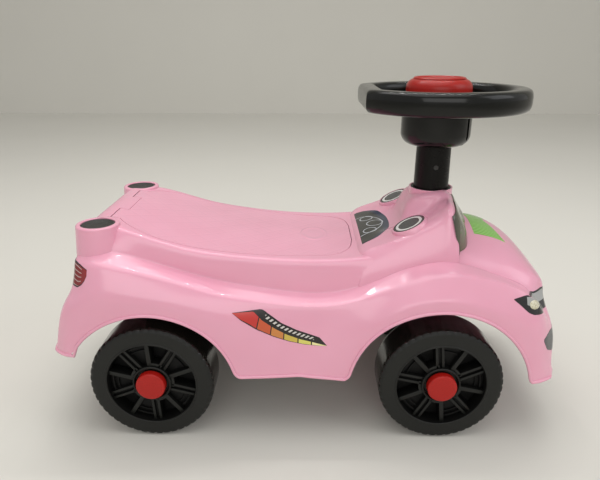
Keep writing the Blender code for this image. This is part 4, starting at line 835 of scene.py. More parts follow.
# %% Pillars and speaker pods
PILLAR_X, PILLAR_Y = -0.2265, 0.0815
PILLAR_R, PILLAR_FOOT_R = 0.0228, 0.0246
PILLAR_TOP_Z, PILLAR_FOOT_Z = 0.2380, 0.2000
PILLAR_CAP_R = 0.0174
SPEAKER_X, SPEAKER_Y, SPEAKER_Z = 0.1112, 0.0575, 0.2290
SPEAKER_TILT = math.radians(26.0)
SPEAKER_R = 0.0178
POD_R, POD_HEIGHT, POD_DEPTH = 0.0202, 0.0022, 0.0080
RIM_ROUND, WELL_ROUND = 0.0020, 0.0008
WELL_GAP, CAP_WELL, DISC_WELL = 0.0004, 0.0042, 0.0020


def speaker_place(side):
    """Its Z is square to the wing and points up to the rider."""
    centre = Vector((SPEAKER_X, side * SPEAKER_Y, SPEAKER_Z))
    return Matrix.Translation(centre) @ Matrix.Rotation(-SPEAKER_TILT, 4, "Y")


def pillar(side):
    well = PILLAR_CAP_R + WELL_GAP
    profile = [(0.0, PILLAR_FOOT_Z), (PILLAR_FOOT_R + 0.0012, PILLAR_FOOT_Z)]
    profile += [(PILLAR_R, PILLAR_TOP_Z - RIM_ROUND)]
    profile += corner((PILLAR_R - RIM_ROUND, PILLAR_TOP_Z - RIM_ROUND), RIM_ROUND, 15, 90)
    profile += corner((well + WELL_ROUND, PILLAR_TOP_Z - WELL_ROUND), WELL_ROUND, 90, 180, 3)
    profile += [(well, PILLAR_TOP_Z - CAP_WELL), (0.0, PILLAR_TOP_Z - CAP_WELL)]
    return turned("pillar", profile, (PILLAR_X, side * PILLAR_Y, 0), steps=96)


def pod(side):
    well = SPEAKER_R + WELL_GAP
    edge = POD_HEIGHT - 0.0012
    profile = [(0.0, -POD_DEPTH), (POD_R + 0.0016, -POD_DEPTH), (POD_R + 0.0008, -0.0005)]
    profile += corner((POD_R - 0.0012, edge), 0.0012, 0, 90, 4)
    floor = POD_HEIGHT - DISC_WELL
    profile += [(well, POD_HEIGHT), (well, floor), (0.0, floor)]
    piece = turned("pod", profile, steps=72)
    piece.data.transform(speaker_place(side))
    return piece


cut(body, cowl_outside, pod(-1), pod(1), pillar(-1), pillar(1), operation="UNION")
for side in (-1, 1):
    cap_well = rod("cap_well", PILLAR_CAP_R + WELL_GAP, PILLAR_TOP_Z - CAP_WELL,
                   PILLAR_TOP_Z + 0.003, (PILLAR_X, side * PILLAR_Y, 0))
    disc_well = rod("disc_well", SPEAKER_R + WELL_GAP, POD_HEIGHT - DISC_WELL, 0.02)
    disc_well.data.transform(speaker_place(side))
    cut(body, cap_well, disc_well)
print("body with cowl, pods and pillars:", len(body.data.polygons), "faces")

# %% [markdown]
# The moulding is a wall 3 mm thick, so its inside is cut out next: the body's own shape
# moved in by the wall, and a smaller cowl. The hinge of the lid is a tongue at the tail
# with a knuckle under it, and the column stands in a tower with a bore for its bushes. A
# Solidify modifier is quicker, but its inner wall would cross itself in the sharp valley.

# %% Hollow the moulding
LID_REAR_X = -0.2185
HINGE_X, HINGE_Z = -0.2160, 0.2333
HINGE_TAB_HALF = 0.0245
KNUCKLE_R, PIN_HOLE_R, PIN_HALF = 0.0033, 0.0018, 0.0345
HINGE_TAB_REACH, HINGE_LID_REACH, HINGE_SWEEP_HALF = 0.0060, 0.0059, 0.0580
LID_GAP, ROLL_GAP = 0.0008, 0.0009
PILLAR_HOLLOW_R, PILLAR_HOLLOW_FOOT_R, PILLAR_ROOF = 0.0190, 0.0200, 0.0075
PILLAR_HOLLOW_FOOT_Z = 0.150
COLUMN_X = 0.1445
TOWER_R, TOWER_TOP_Z, TOWER_FOOT_Z = 0.0252, 0.2590, 0.1520
BUSH_SEAT_R, BUSH_SEAT_Z = 0.0238, 0.2586
TOWER_BORE_R, BORE_FOOT_Z, BORE_TOP_Z = 0.0223, 0.14, 0.30


def hinge_rod(name, radius, half_length):
    return rod(name, radius, -half_length, half_length, (HINGE_X, 0, HINGE_Z), "Y", 48)


def hinge_tab(name, reach, half_width):
    """The tongue at the tail that carries the hinge, rounded about the hinge axis."""
    low = (LID_REAR_X - 2 * HINGE_LID_REACH, -half_width, HINGE_Z - 2 * KNUCKLE_R)
    tab = box(name, low, (HINGE_X, half_width, PILLAR_TOP_Z + 0.006))
    return cut(tab, hinge_rod("tab_round", reach, half_width), operation="UNION")


column_foot = (COLUMN_X, 0, 0)
cut(body, hinge_rod("knuckle", KNUCKLE_R, HINGE_TAB_HALF - LID_GAP), operation="UNION")
cut(body, inside, cowl("cowl_inside", 2, BODY_WALL + 0.001))
cut(body, rod("tower", TOWER_R, TOWER_FOOT_Z, TOWER_TOP_Z, column_foot), operation="UNION")
cut(body, rod("bush_seat", BUSH_SEAT_R, BUSH_SEAT_Z, BORE_TOP_Z, column_foot),
    rod("bore", TOWER_BORE_R, BORE_FOOT_Z, BORE_TOP_Z, column_foot))
for side in (-1, 1):
    foot = (PILLAR_X, side * PILLAR_Y, 0)
    cut(body, rod("pillar_hollow", PILLAR_HOLLOW_R, PILLAR_HOLLOW_FOOT_Z,
                  PILLAR_TOP_Z - PILLAR_ROOF, foot, foot_radius=PILLAR_HOLLOW_FOOT_R))
print("hollow body:", len(body.data.polygons), "faces")

# %% [markdown]
# The hem is trimmed in one cut: an outline seen from the side, made of the hem's own line
# and the two wheel arches, with every corner rounded by a short curve, pushed right
# through the car. Two cylinders could cut the arches, but their corners with the hem
# would stay sharp. The same outline later guides the bead that runs along the edge.

# %% The line of the hem and the arches
AXLE_Z = 0.068
REAR_AXLE_X, FRONT_AXLE_X = -0.172, 0.1445
TAIL_X, NOSE_X = HEM[0][0], HEM[-1][0]
# Each arch: the x and z of its centre, and its radius
REAR_ARCH = (-0.172, 0.0575, 0.095)
FRONT_ARCH = (0.1415, 0.0577, 0.100)
ARCH_CORNER_R = 0.0085
ARCH_STEPS, HEM_STEP = 180, 0.003
TRIM_X, TRIM_Y, TRIM_FOOT_Z = 0.31, 0.15, -0.01


def hem_z(x):
    return at(HEM, x, 2)


def arch_line(arch):
    """The points of an arch above the hem, from its rear end to its front end."""
    x, z, radius = arch
    points = []
    for i in range(ARCH_STEPS + 1):
        angle = math.radians(200 - 220 * i / ARCH_STEPS)
        u, v = x + radius * math.cos(angle), z + radius * math.sin(angle)
        if v > hem_z(u):
            points.append(Vector((u, v)))
    return points


def hem_line(start, end):
    count = max(int((end - start) / HEM_STEP), 2)
    xs = [start + (end - start) * i / count for i in range(count + 1)]
    return [Vector((x, hem_z(x))) for x in xs]


def softened(before, after, radius):
    """Two lines that meet, joined by a short curve instead of a corner."""
    meet = (before[-1] + after[0]) / 2
    first = [p for p in before if (p - meet).length > radius]
    last = [p for p in after if (p - meet).length > radius]
    a, b = first[-1], last[0]
    curve = []
    for i in range(1, 8):
        t = i / 8
        curve.append(a * (1 - t) ** 2 + meet * 2 * t * (1 - t) + b * t * t)
    return first + curve + last


rear_arch, front_arch = arch_line(REAR_ARCH), arch_line(FRONT_ARCH)
edge_line = hem_line(TAIL_X, rear_arch[0].x)
for part in (rear_arch, hem_line(rear_arch[-1].x, front_arch[0].x), front_arch,
             hem_line(front_arch[-1].x, NOSE_X)):
    edge_line = softened(edge_line, part, ARCH_CORNER_R)
below = [Vector((-TRIM_X, edge_line[0].y))] + edge_line + [Vector((TRIM_X, edge_line[-1].y))]
below += [Vector((TRIM_X, TRIM_FOOT_Z)), Vector((-TRIM_X, TRIM_FOOT_Z))]
cut(body, plate("under_the_hem", below, -TRIM_Y, TRIM_Y, upright=True))
print("hem line:", len(edge_line), "points")

# %% [markdown]
# The lid closes an opening in the seat. Its outline is drawn from points at one
# side, smoothed by a curve through them, and used twice: a little larger for the opening,
# and as drawn for the lid, so that an even seam of 0.8 mm is left between the two. Two
# drawings, one for each, would be easier to start with and harder to keep even.

# %% The opening for the lid
LID_OUTLINE = [
    (LID_REAR_X, 0.0480), (-0.2110, 0.0560), (-0.2030, 0.0655),
    (-0.1925, 0.0740), (-0.1725, 0.0830), (-0.1520, 0.0850), (-0.1182, 0.0840),
    (-0.0752, 0.0815), (-0.0101, 0.0745), (0.0150, 0.0715), (0.0275, 0.0690),
    (0.0385, 0.0610), (0.0465, 0.0480), (0.0500, 0.0270),
]
OPENING_FOOT_Z, OPENING_TOP_Z = 0.087, PILLAR_TOP_Z + 0.003


def through(points, steps):
    """A smooth curve through the points, as a list of points."""
    points = [Vector(point) for point in points]
    padded = [2 * points[0] - points[1]] + points + [2 * points[-1] - points[-2]]
    line = []
    for a, b, c, d in zip(padded, padded[1:], padded[2:], padded[3:]):
        for i in range(steps):
            t = i / steps
            line.append(0.5 * (2 * b + (c - a) * t + (2 * a - 5 * b + 4 * c - d) * t ** 2
                               + (3 * b - a - 3 * c + d) * t ** 3))
    return line + [points[-1]]


def widened(outline, distance):
    """A closed outline moved out by the distance, point by point."""
    moved = []
    for i, here in enumerate(outline):
        run = (outline[(i + 1) % len(outline)] - outline[i - 1]).normalized()
        moved.append(here + Vector((-run.y, run.x)) * distance)
    return moved


lid_side = through(LID_OUTLINE, 5)
lid_outline = lid_side + [Vector((p.x, -p.y)) for p in reversed(lid_side)]
opening = plate("lid_opening", widened(lid_outline, LID_GAP), OPENING_FOOT_Z, OPENING_TOP_Z)
cut(opening, hinge_rod("swing", HINGE_LID_REACH + LID_GAP, HINGE_SWEEP_HALF), operation="UNION")
cut(opening, hinge_tab("body_tab", HINGE_TAB_REACH, HINGE_TAB_HALF))
cut(opening, hinge_rod("pin_hole", PIN_HOLE_R, PIN_HALF), operation="UNION")
cut(body, opening)
print("body:", len(body.data.polygons), "faces")

# %% [markdown]
# A finished piece gets its material, is shaded smooth except at sharp edges, and is told
# which body of the car it rides on; the imported solids it stands for are hidden. One
# function does it, so that no piece is forgotten.

# %% Finish a piece
def finish(piece, material, rides_on, nodes=(), angle=32.0):
    piece.data.materials.clear()
    for item in material if isinstance(material, list) else [material]:
        piece.data.materials.append(item)
    only(piece)
    bpy.ops.object.shade_smooth_by_angle(angle=math.radians(angle))
    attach(piece, rides_on)
    if nodes:
        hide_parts(*nodes)
    print(piece.name, len(piece.data.polygons), "faces")
    return piece


tidy(body, 2 * COARSE_WELD)
finish(body, PINK, "car_body", ["body_shell"])

# %% [markdown]
# Along the whole lower edge the moulding rolls into a bead 4 mm thick, which stiffens it
# and catches a bright line of light. The bead is a curve that follows the hem line: each
# of its points is found by looking outwards from inside the car until the skin is met.
# The curve gets a round section and becomes a mesh. The bead could be a row of the cage,
# but the arches are cut after the cage is rounded, so it follows the finished edge.

# %% The bead along the hem
BEAD_R, BEAD_LIFT = 0.0019, 0.0001
TAIL_TURN_X, NOSE_TURN_X = -0.2480, 0.2430
TURN_Y = 0.095


def landed(surface, origin, direction, lift=0.0):
    """Where a ray meets a surface, lifted along its normal, or None where it misses."""
    found, point, normal, face = surface.ray_cast(Vector(origin), Vector(direction))
    if not found:
        return None
    if normal.dot(Vector(direction)) > 0 and surface is not skin:
        normal = -normal
    return point + normal * lift


def end_turn(x, z, way):
    """From the middle of the tail (way -1) or the nose (way 1) round its corner."""
    middle = [landed(skin, (x, -TURN_Y * i / 12, z), (way, 0, 0)) for i in range(12)]
    turns = [math.radians(90 * i / 14) for i in range(14)]
    return middle + [landed(skin, (x, -TURN_Y, z), (way * math.cos(a), -math.sin(a), 0))
                     for a in turns]


side_points = [landed(skin, (p.x, 0, p.y), (0, -1, 0)) for p in edge_line
               if TAIL_TURN_X < p.x < NOSE_TURN_X]
right_half = end_turn(TAIL_TURN_X, hem_z(TAIL_X) + BEAD_LIFT, -1) + side_points
right_half += end_turn(NOSE_TURN_X, hem_z(NOSE_X) + BEAD_LIFT, 1)[::-1]
right_half = [p for p in right_half if p]
low, high = CAD_BOX[0][0] + BEAD_R, CAD_BOX[1][0] - BEAD_R
right_half = [Vector((min(max(p.x, low), high), p.y, p.z)) for p in right_half]
loop = right_half + [Vector((p.x, -p.y, p.z)) for p in right_half[-2:0:-1]]
bpy.ops.object.select_all(action="DESELECT")
bpy.ops.curve.primitive_bezier_circle_add(radius=0.1)
bead = bpy.context.active_object
bead.data.splines.clear()
spline = bead.data.splines.new("POLY")
spline.points.add(len(loop) - 1)
for point, place in zip(spline.points, loop):
    point.co = (*place, 1.0)
spline.use_cyclic_u = True
bead.data.dimensions = "3D"
bead.data.bevel_depth = BEAD_R
bead.data.bevel_resolution = 2
only(bead)
bpy.ops.object.convert(target="MESH")
bead = born("hem_bead")
finish(tidy(bead), PINK, "car_body", angle=60)

# %% [markdown]
# The lid is a net as well: one row of points across the seat for every point of its
# outline, each dropped onto the body's smooth skin, so that it follows the dished seat
# exactly. It then gets its 3 mm thickness, softened edges, a notch for the hinge tongue,
# and beside it the two rolled edges that turn on the pin. It could be cut out of the
# body's own surface, but a net gives it clean rows, and thickness without torn edges.

# %% Seat lid
LID_COLUMNS, LID_WALL = 41, 0.003
ABOVE_Z = 0.35


def on_top(surface, x, y, lift=0.0):
    """The point on top of a surface at x and y, found by looking down from above it."""
    return landed(surface, (x, y, ABOVE_Z), (0, 0, -1), lift)


lid_rows = []
for edge in lid_side:
    shares = [math.sin(math.pi / 2 * (2 * j / (LID_COLUMNS - 1) - 1)) for j in range(LID_COLUMNS)]
    lid_rows.append([on_top(skin, edge.x, edge.y * share) for share in shares])
lid = net("seat_lid_moulding", lid_rows)
if lid.data.polygons[0].normal.z < 0:
    flipped(lid)
apply(lid, "SOLIDIFY", thickness=LID_WALL, offset=-1.0, use_even_offset=True)
apply(lid, "BEVEL", width=0.0008, segments=3, limit_method="ANGLE", angle_limit=math.radians(60))
cut(lid, hinge_tab("notch", HINGE_TAB_REACH + LID_GAP, HINGE_TAB_HALF + LID_GAP))
for side in (-1, 1):
    start, end = sorted((side * (HINGE_TAB_HALF + ROLL_GAP), side * (HINGE_SWEEP_HALF - LID_GAP)))
    roll = rod("roll", HINGE_LID_REACH, start, end, (HINGE_X, 0, HINGE_Z), "Y", 48)
    cut(roll, to_floor(copy_of(skin, "under_the_skin")), operation="INTERSECT")
    cut(lid, roll, operation="UNION")
cut(lid, hinge_rod("pin_hole", PIN_HOLE_R, PIN_HALF + 0.003))
finish(tidy(lid), LID_PINK, "seat", ["seat_lid"])

# %% [markdown]
# Near the front of the lid is a shallow raised oval, a blank badge in the same plastic. It
# is a net in polar form: rings of points that swell half a millimetre above the seat, with
# a slight dish in the middle. An inset in the lid would do too, but would break its rows.

# %% Blank oval on the lid
OVAL_X, OVAL_LENGTH, OVAL_WIDTH = 0.0060, 0.032, 0.046
OVAL_PROFILE = [(1.06, -0.0002), (1.0, 0.00025), (0.94, 0.0006), (0.88, 0.0006), (0.80, 0.00025),
                (0.5, 0.0003), (0.2, 0.00035), (0.0, 0.00035)]

oval_rows = []
for share, lift in OVAL_PROFILE:
    ring = [math.radians(5 * i) for i in range(73)]
    oval_rows.append([on_top(skin, OVAL_X + OVAL_LENGTH / 2 * share * math.cos(a),
                             OVAL_WIDTH / 2 * share * math.sin(a), lift) for a in ring])
oval = capped(net("lid_oval", oval_rows), COARSE_WELD)
finish(oval, PINK, "seat")

# %% [markdown]
# The windscreen is what is left of a slightly swollen cowl when the cowl itself and the
# body are cut away and only the front stretch is kept: a sheet 1 mm thick that hugs it. A
# bent plane could be fitted to the cowl, but would have to be fitted again at each change.

# %% Windscreen
SCREEN_OUTLINE = [
    (0.1515, 0.2462), (0.1625, 0.2520), (0.210, 0.2520), (0.210, 0.190), (0.1600, 0.190),
    (0.1600, 0.2079),
]
SCREEN_HALF = 0.086
SCREEN_FACE, SCREEN_BACK, SCREEN_FOOT_GAP = 0.0013, 0.0003, 0.0006

screen = grown(cowl("windscreen_sheet"), SCREEN_FACE)
cut(screen, plate("keep", SCREEN_OUTLINE, -SCREEN_HALF, SCREEN_HALF, upright=True),
    operation="INTERSECT")
cut(screen, grown(cowl("seat_of_screen"), SCREEN_BACK))
cut(screen, to_floor(grown(copy_of(skin, "foot_of_screen"), SCREEN_FOOT_GAP)))
finish(tidy(screen), SMOKED, "car_body", ["windscreen"])

# %% [markdown]
# The pillar caps sit just below the rims of the pillars, with a soft edge and a slightly
# hollow face. A squashed cylinder would do from afar; a turned profile also has the edge.

# %% Pillar caps
for side, word in ((-1, "right"), (1, "left")):
    top = PILLAR_TOP_Z - 0.0008
    profile = [(0.0, top - 0.0030), (PILLAR_CAP_R, top - 0.0030)]
    profile += corner((PILLAR_CAP_R - 0.0008, top - 0.0008), 0.0008, 0, 90, 3)
    profile += [(PILLAR_CAP_R - 0.0022, top - 0.0001), (PILLAR_CAP_R - 0.0030, top - 0.0006),
                (0.0, top - 0.0007)]
    cap = turned("pillar_cap_disc_" + word, profile, (PILLAR_X, side * PILLAR_Y, 0), steps=72)
    finish(cap, CAP_BLACK, "car_body", ["pillar_cap_" + word])

# %% [markdown]
# Printed vinyl is glossy and perfectly even, so its finish is a coat over flat inks. Every
# sticker uses a plain ink where it can, and a small pattern in its own UV space where not.
# A picture could hold the prints; nodes stay sharp from near and need no file.

# %% Vinyl inks
INK_MOTTLE = 0.004
GRILLE_HOLE = 0.0016


def make_ink(name, colour, roughness=0.22):
    """A printed ink with the faint mottle of the laminate over it."""
    ink = new_finish(name, colour, roughness, Coat_Weight=0.3, Coat_Roughness=0.12)
    place = add_node(ink, "ShaderNodeTexCoord", {}, {}).outputs["Object"]
    mottle = add_node(ink, "ShaderNodeTexNoise", {}, {
        "Vector": place, "Scale": 1 / INK_MOTTLE, "Detail": 2.0})
    gloss = add_node(ink, "ShaderNodeMapRange", {}, {
        "Value": mottle.outputs["Fac"], "To Min": roughness - 0.06, "To Max": roughness + 0.08})
    feed(ink, gloss.outputs["Result"], "Roughness")
    return ink


INK_BLACK = make_ink("vinyl_ink_black", "17120F")
INK_WHITE = make_ink("vinyl_ink_white", "E4E2E0")
INK_GREY = make_ink("vinyl_ink_grey", "45474A")
GRILLE = make_ink("vinyl_ink_grille", "3A3C40", 0.3)
grille_place = add_node(GRILLE, "ShaderNodeTexCoord", {}, {}).outputs["Object"]
grille_dots = add_node(GRILLE, "ShaderNodeTexVoronoi", {}, {
    "Vector": grille_place, "Scale": 1 / GRILLE_HOLE, "Randomness": 0.15})
grille_mask = add_node(GRILLE, "ShaderNodeMapRange", {}, {
    "Value": grille_dots.outputs["Distance"], "From Min": 0.25, "From Max": 0.40})
grille_shade = add_node(GRILLE, "ShaderNodeMix", {"data_type": "RGBA"}, {
    "Factor": grille_mask.outputs["Result"], 6: linear("0E0F12"), 7: linear("3A3B3E")})
feed(GRILLE, grille_shade.outputs[2], "Base Color")
print("made the inks")

# %% [markdown]
# The speakers are only printed: thin discs with a black, a white and a black ring about a
# dark grille. The rings could be drawn by a node, but as steps in the disc's own mesh each
# takes its own ink, and their edges stay clean.

# %% Speaker discs
DISC_FACE = [(0.0178, INK_BLACK), (0.0152, INK_WHITE), (0.0122, INK_BLACK), (0.0108, GRILLE)]
DISC_TOP, DISC_FOOT = POD_HEIGHT - 0.0001, POD_HEIGHT - 0.0016

for side, word in ((-1, "right"), (1, "left")):
    profile = [(0.0, DISC_FOOT), (SPEAKER_R, DISC_FOOT), (SPEAKER_R, DISC_TOP - 0.0003)]
    profile += [(SPEAKER_R - 0.0003, DISC_TOP)] + [(r, DISC_TOP) for r, ink in DISC_FACE[1:]]
    profile += [(0.0, DISC_TOP)]
    disc = turned("speaker_disc_" + word, profile, steps=72)
    disc.data.transform(speaker_place(side))
    finish(disc, [ink for radius, ink in DISC_FACE], "car_body", ["speaker_" + word])
    to_disc = speaker_place(side).inverted()
    for face in disc.data.polygons:
        point = to_disc @ face.center
        radius = math.hypot(point.x, point.y)
        if point.z > DISC_TOP - 0.0001:
            face.material_index = sum(radius < edge for edge, ink in DISC_FACE[1:])

# %% [markdown]
# One wheel is modelled lying flat, with its face up, and copied to the four corners. The
# tyre and rim are one turned piece: a flat sidewall with a raised lip, a shoulder that
# rounds over to the tread, and a deep dish. Forty-eight small notches run over the
# shoulder; they are made by pressing in the shoulder's points at even steps, which adds no
# faces, where forty-eight Booleans would add thousands.

# %% Wheel: tyre and dish
WHEEL_R, WHEEL_WIDTH, WHEEL_INNER_Y = 0.068, 0.045, 0.085
LIP_R, HUB_R, BORE_R = 0.0485, 0.0205, 0.0043
WALL_Z, DISH_Z, HUB_Z = 0.0444, 0.0260, 0.0415
SHOULDER_R = 0.0050
NOTCHES = 48
NOTCH_DEPTH = 0.0007
NOTCH_LOW_Z, NOTCH_HIGH_Z = 0.0375, 0.0441
CAP_SEAT_R, COLLAR_R, COLLAR_Z = 0.0152, 0.0212, 0.0434

tyre_profile = [(BORE_R, HUB_Z), (CAP_SEAT_R, HUB_Z), (CAP_SEAT_R + 0.0006, HUB_Z - 0.0030),
                (0.0185, HUB_Z - 0.0035), (0.0190, COLLAR_Z - 0.0006), (0.0196, COLLAR_Z),
                (HUB_R, COLLAR_Z), (COLLAR_R, COLLAR_Z - 0.0008), (COLLAR_R, DISH_Z),
                (LIP_R - 0.0006, DISH_Z), (LIP_R, WALL_Z), (LIP_R + 0.0005, WHEEL_WIDTH),
                (LIP_R + 0.0016, WHEEL_WIDTH), (LIP_R + 0.0021, WALL_Z),
                (WHEEL_R - SHOULDER_R - 0.0015, WALL_Z - 0.0002)]
tyre_profile += corner((WHEEL_R - SHOULDER_R, WALL_Z - 0.0002 - SHOULDER_R), SHOULDER_R, 80, 5, 8)
tyre_profile += [(WHEEL_R, WALL_Z - 0.0075), (WHEEL_R, 0.0240), (WHEEL_R, SHOULDER_R + 0.001)]
tyre_profile += corner((WHEEL_R - SHOULDER_R, SHOULDER_R), SHOULDER_R, 0, -90, 5)
tyre_profile += [(LIP_R, 0.0), (LIP_R - 0.001, 0.020), (HUB_R, 0.020), (HUB_R - 0.001, 0.0),
                 (BORE_R, 0.0)]
tyre = turned("wheel", tyre_profile, steps=NOTCHES * 4)
for vert in tyre.data.vertices:
    radius = math.hypot(vert.co.x, vert.co.y)
    share = math.atan2(vert.co.y, vert.co.x) / (2 * math.pi) * NOTCHES
    on_shoulder = radius > WHEEL_R - SHOULDER_R - 0.0008
    at_shoulder = NOTCH_LOW_Z < vert.co.z < NOTCH_HIGH_Z
    if on_shoulder and at_shoulder and abs(share - round(share)) < 0.1:
        vert.co.x *= 1 - NOTCH_DEPTH / radius
        vert.co.y *= 1 - NOTCH_DEPTH / radius
        vert.co.z -= NOTCH_DEPTH / 2
print("tyre:", len(tyre.data.polygons), "faces")

# %% [markdown]
# Ten spokes divide the dish into ten pockets: five open and deep, five with a floor near
# the face and two concentric ribs beside the rim. The spokes take turns to be a plain bar
# and a pair of thin bars with a groove between them. A bar is a box with bevelled edges.
# Bars and ribs could be fused with the dish, but they only have to stand in it, so they
# stay shells of their own in the wheel's one mesh.

# %% Wheel: spokes and pockets
SPOKES = 10
SPOKE_TOP_Z, SPOKE_FOOT_Z = 0.0408, DISH_Z - 0.001
SPOKE_START_R, SPOKE_END_R = 0.0195, 0.0490
POCKET_FLOOR_Z = 0.0345
# A twin spoke: width, shift to the side, height of its top
TWIN_BARS = [(0.0030, -0.0032, SPOKE_TOP_Z), (0.0030, 0.0032, SPOKE_TOP_Z),
             (0.0050, 0.0, SPOKE_TOP_Z - 0.0030)]
PLAIN_BAR = [(0.0048, 0.0, SPOKE_TOP_Z + 0.0004)]
# A shallow pocket's floor and its two ribs: radius, width, height, half angle in degrees
SHALLOW_POCKET = [(0.0345, 0.029, POCKET_FLOOR_Z, 15.0),
                  (0.0440, 0.0022, POCKET_FLOOR_Z + 0.0032, 13.5),
                  (0.0388, 0.0016, POCKET_FLOOR_Z + 0.0022, 13.0)]
DEEP_POCKET_RIB = (0.0225, 0.0040, SPOKE_TOP_Z, 16.0)


def bar(width, shift, top_z):
    piece = box("bar", (SPOKE_START_R, shift - width / 2, SPOKE_FOOT_Z),
                (SPOKE_END_R, shift + width / 2, top_z))
    return apply(piece, "BEVEL", width=0.0007, segments=2, limit_method="ANGLE")


def pocket_rib(radius, width, top_z, half_angle):
    """A short curved rib or floor between two spokes, low in the dish."""
    angles = [math.radians(half_angle * (i / 6 - 1)) for i in range(13)]
    outer = [Vector((math.cos(a), math.sin(a))) * (radius + width / 2) for a in angles]
    inner = [Vector((math.cos(a), math.sin(a))) * (radius - width / 2) for a in reversed(angles)]
    piece = plate("rib", outer + inner, SPOKE_FOOT_Z, top_z)
    return apply(piece, "BEVEL", width=0.0005, segments=2, limit_method="ANGLE")


wheel_parts = [tyre]
for i in range(SPOKES):
    turn = Matrix.Rotation(2 * math.pi * i / SPOKES, 4, "Z")
    bars = [bar(*sizes) for sizes in (TWIN_BARS if i % 2 else PLAIN_BAR)]
    for piece in bars:
        piece.data.transform(turn)
    wheel_parts += bars
for i in range(SPOKES // 2):
    turn = Matrix.Rotation(2 * math.pi * (2 * i + 0.5) / SPOKES, 4, "Z")
    ribs = [pocket_rib(*sizes) for sizes in SHALLOW_POCKET]
    deep = pocket_rib(*DEEP_POCKET_RIB)
    deep.data.transform(Matrix.Rotation(2 * math.pi / SPOKES, 4, "Z"))
    for piece in ribs + [deep]:
        piece.data.transform(turn)
    wheel_parts += ribs + [deep]
wheel = together("wheel", *wheel_parts)
print("wheel:", len(wheel.data.polygons), "faces")

# %% [markdown]
# The hub cap is a red cup with a rounded rim and a slightly domed face, sunk in a dark
# ring. Wheel and cap are turned to face outwards and moved to each corner. The front and
# rear wheels had stopped at different angles, so each pair is turned by its own amount.
# Four wheels could share one mesh, but each copy has its own, with its place in it.

# %% Four wheels and their hub caps
HUB_CAP_R, HUB_CAP_FOOT, HUB_CAP_TOP = 0.0160, 0.1268, 0.1353
# How far below the face the darker black of painted shade in the dish begins and ends
PAINTED_SHADE_FROM, PAINTED_SHADE_TO = 0.0055, 0.030
# Name of the pair, its axle's x, and how far its wheels are turned
AXLES = [("front", FRONT_AXLE_X, math.radians(60)), ("rear", REAR_AXLE_X, math.radians(21))]

cap_height = HUB_CAP_TOP - HUB_CAP_FOOT
cap_profile = [(0.0, cap_height), (0.008, cap_height - 0.0001), (0.0125, cap_height - 0.0004)]
cap_profile += corner((HUB_CAP_R - 0.0018, cap_height - 0.0024), 0.0018, 75, 0, 5)
cap_profile += [(HUB_CAP_R, 0.0), (HUB_CAP_R - 0.0018, 0.0),
                (HUB_CAP_R - 0.0018, cap_height - 0.0032), (0.0, cap_height - 0.0032)]

for end, axle_x, phase in AXLES:
    for side, word in ((-1, "right"), (1, "left")):
        corner_name = end + "_" + word
        outwards = TURN["Y"] if side > 0 else TURN["Y"] @ HALF_TURN
        place = Matrix.Translation((axle_x, side * WHEEL_INNER_Y, AXLE_Z)) @ outwards
        place = place @ Matrix.Rotation(phase, 4, "Z")
        twin = copy_of(wheel, "tyre_and_rim_" + corner_name, place)
        finish(twin, [WHEEL_FACE, WHEEL_TREAD, WHEEL_PAINTED_SHADE], "wheel_" + corner_name,
               ["wheel_" + corner_name], 30)
        for face in twin.data.polygons:
            away = math.hypot(face.center.x - axle_x, face.center.z - AXLE_Z)
            depth = WHEEL_INNER_Y + WHEEL_WIDTH - abs(face.center.y)
            face.material_index = int(away > WHEEL_R - 0.002 and abs(face.normal.y) < 0.6)
            # Faces deep in the dish take the darker black: painted shade in the pockets.
            if HUB_R < away < LIP_R and PAINTED_SHADE_FROM < depth < PAINTED_SHADE_TO:
                face.material_index = 2
        foot = (axle_x, side * HUB_CAP_FOOT, AXLE_Z)
        cap = turned("hub_cap_cup_" + corner_name, cap_profile, foot, "Y", side < 0)
        finish(cap, CAP_RED, "wheel_" + corner_name, ["hub_cap_" + corner_name], 40)
bpy.data.objects.remove(wheel)

# %% [markdown]
# The column is a drawn tube, a shade wider at its foot, with a small recess for the screw
# that holds the cup. The cup is a turned bowl with a round bottom; a slot runs down its
# near side, where its two halves meet. What a lathe could make is turned, and only the
# recess, the pin's bore and the slot are cut by Booleans.

# %% Steering column and cup
COLUMN_R, COLUMN_TOP_R, COLUMN_WALL = 0.0203, 0.0197, 0.0028
COLUMN_FOOT_Z = 0.105
CUP_R, CUP_FOOT_Z, CUP_TOP_Z, CUP_WALL, CUP_FLOOR = 0.0392, 0.3090, 0.3450, 0.0025, 0.0035
CUP_ROUND = 0.0130
SPIGOT_R, SPIGOT_FOOT_Z = 0.0172, 0.2720
SCREW_Z, SCREW_RECESS_R = 0.28495, 0.0033
PIN_Z, PIN_BORE_R = COLUMN_FOOT_Z + 0.018, 0.0028
SLOT_TURN = math.radians(-40)
SLOT_HALF, SLOT_DEPTH, SLOT_TOP_Z = 0.0022, 0.0016, 0.3440
SCREW_BORE_R = 0.0056

tube_top = CUP_FOOT_Z - 0.0003
tube_inner = COLUMN_R - COLUMN_WALL
column = turned("column_tube", [
    (tube_inner, tube_top), (COLUMN_TOP_R - 0.0006, tube_top), (COLUMN_TOP_R, tube_top - 0.0006),
    (COLUMN_R, 0.250), (COLUMN_R, COLUMN_FOOT_Z), (tube_inner, COLUMN_FOOT_Z)], column_foot)
cut(column, rod("recess", SCREW_RECESS_R, -0.030, -tube_inner / 2, (COLUMN_X, 0, SCREW_Z), "Y", 32),
    rod("pin_hole", PIN_BORE_R, -0.05, 0.05, (COLUMN_X, 0, PIN_Z), "Y", 32))
finish(column, COLUMN_BLACK, "steering", ["steering_column"])

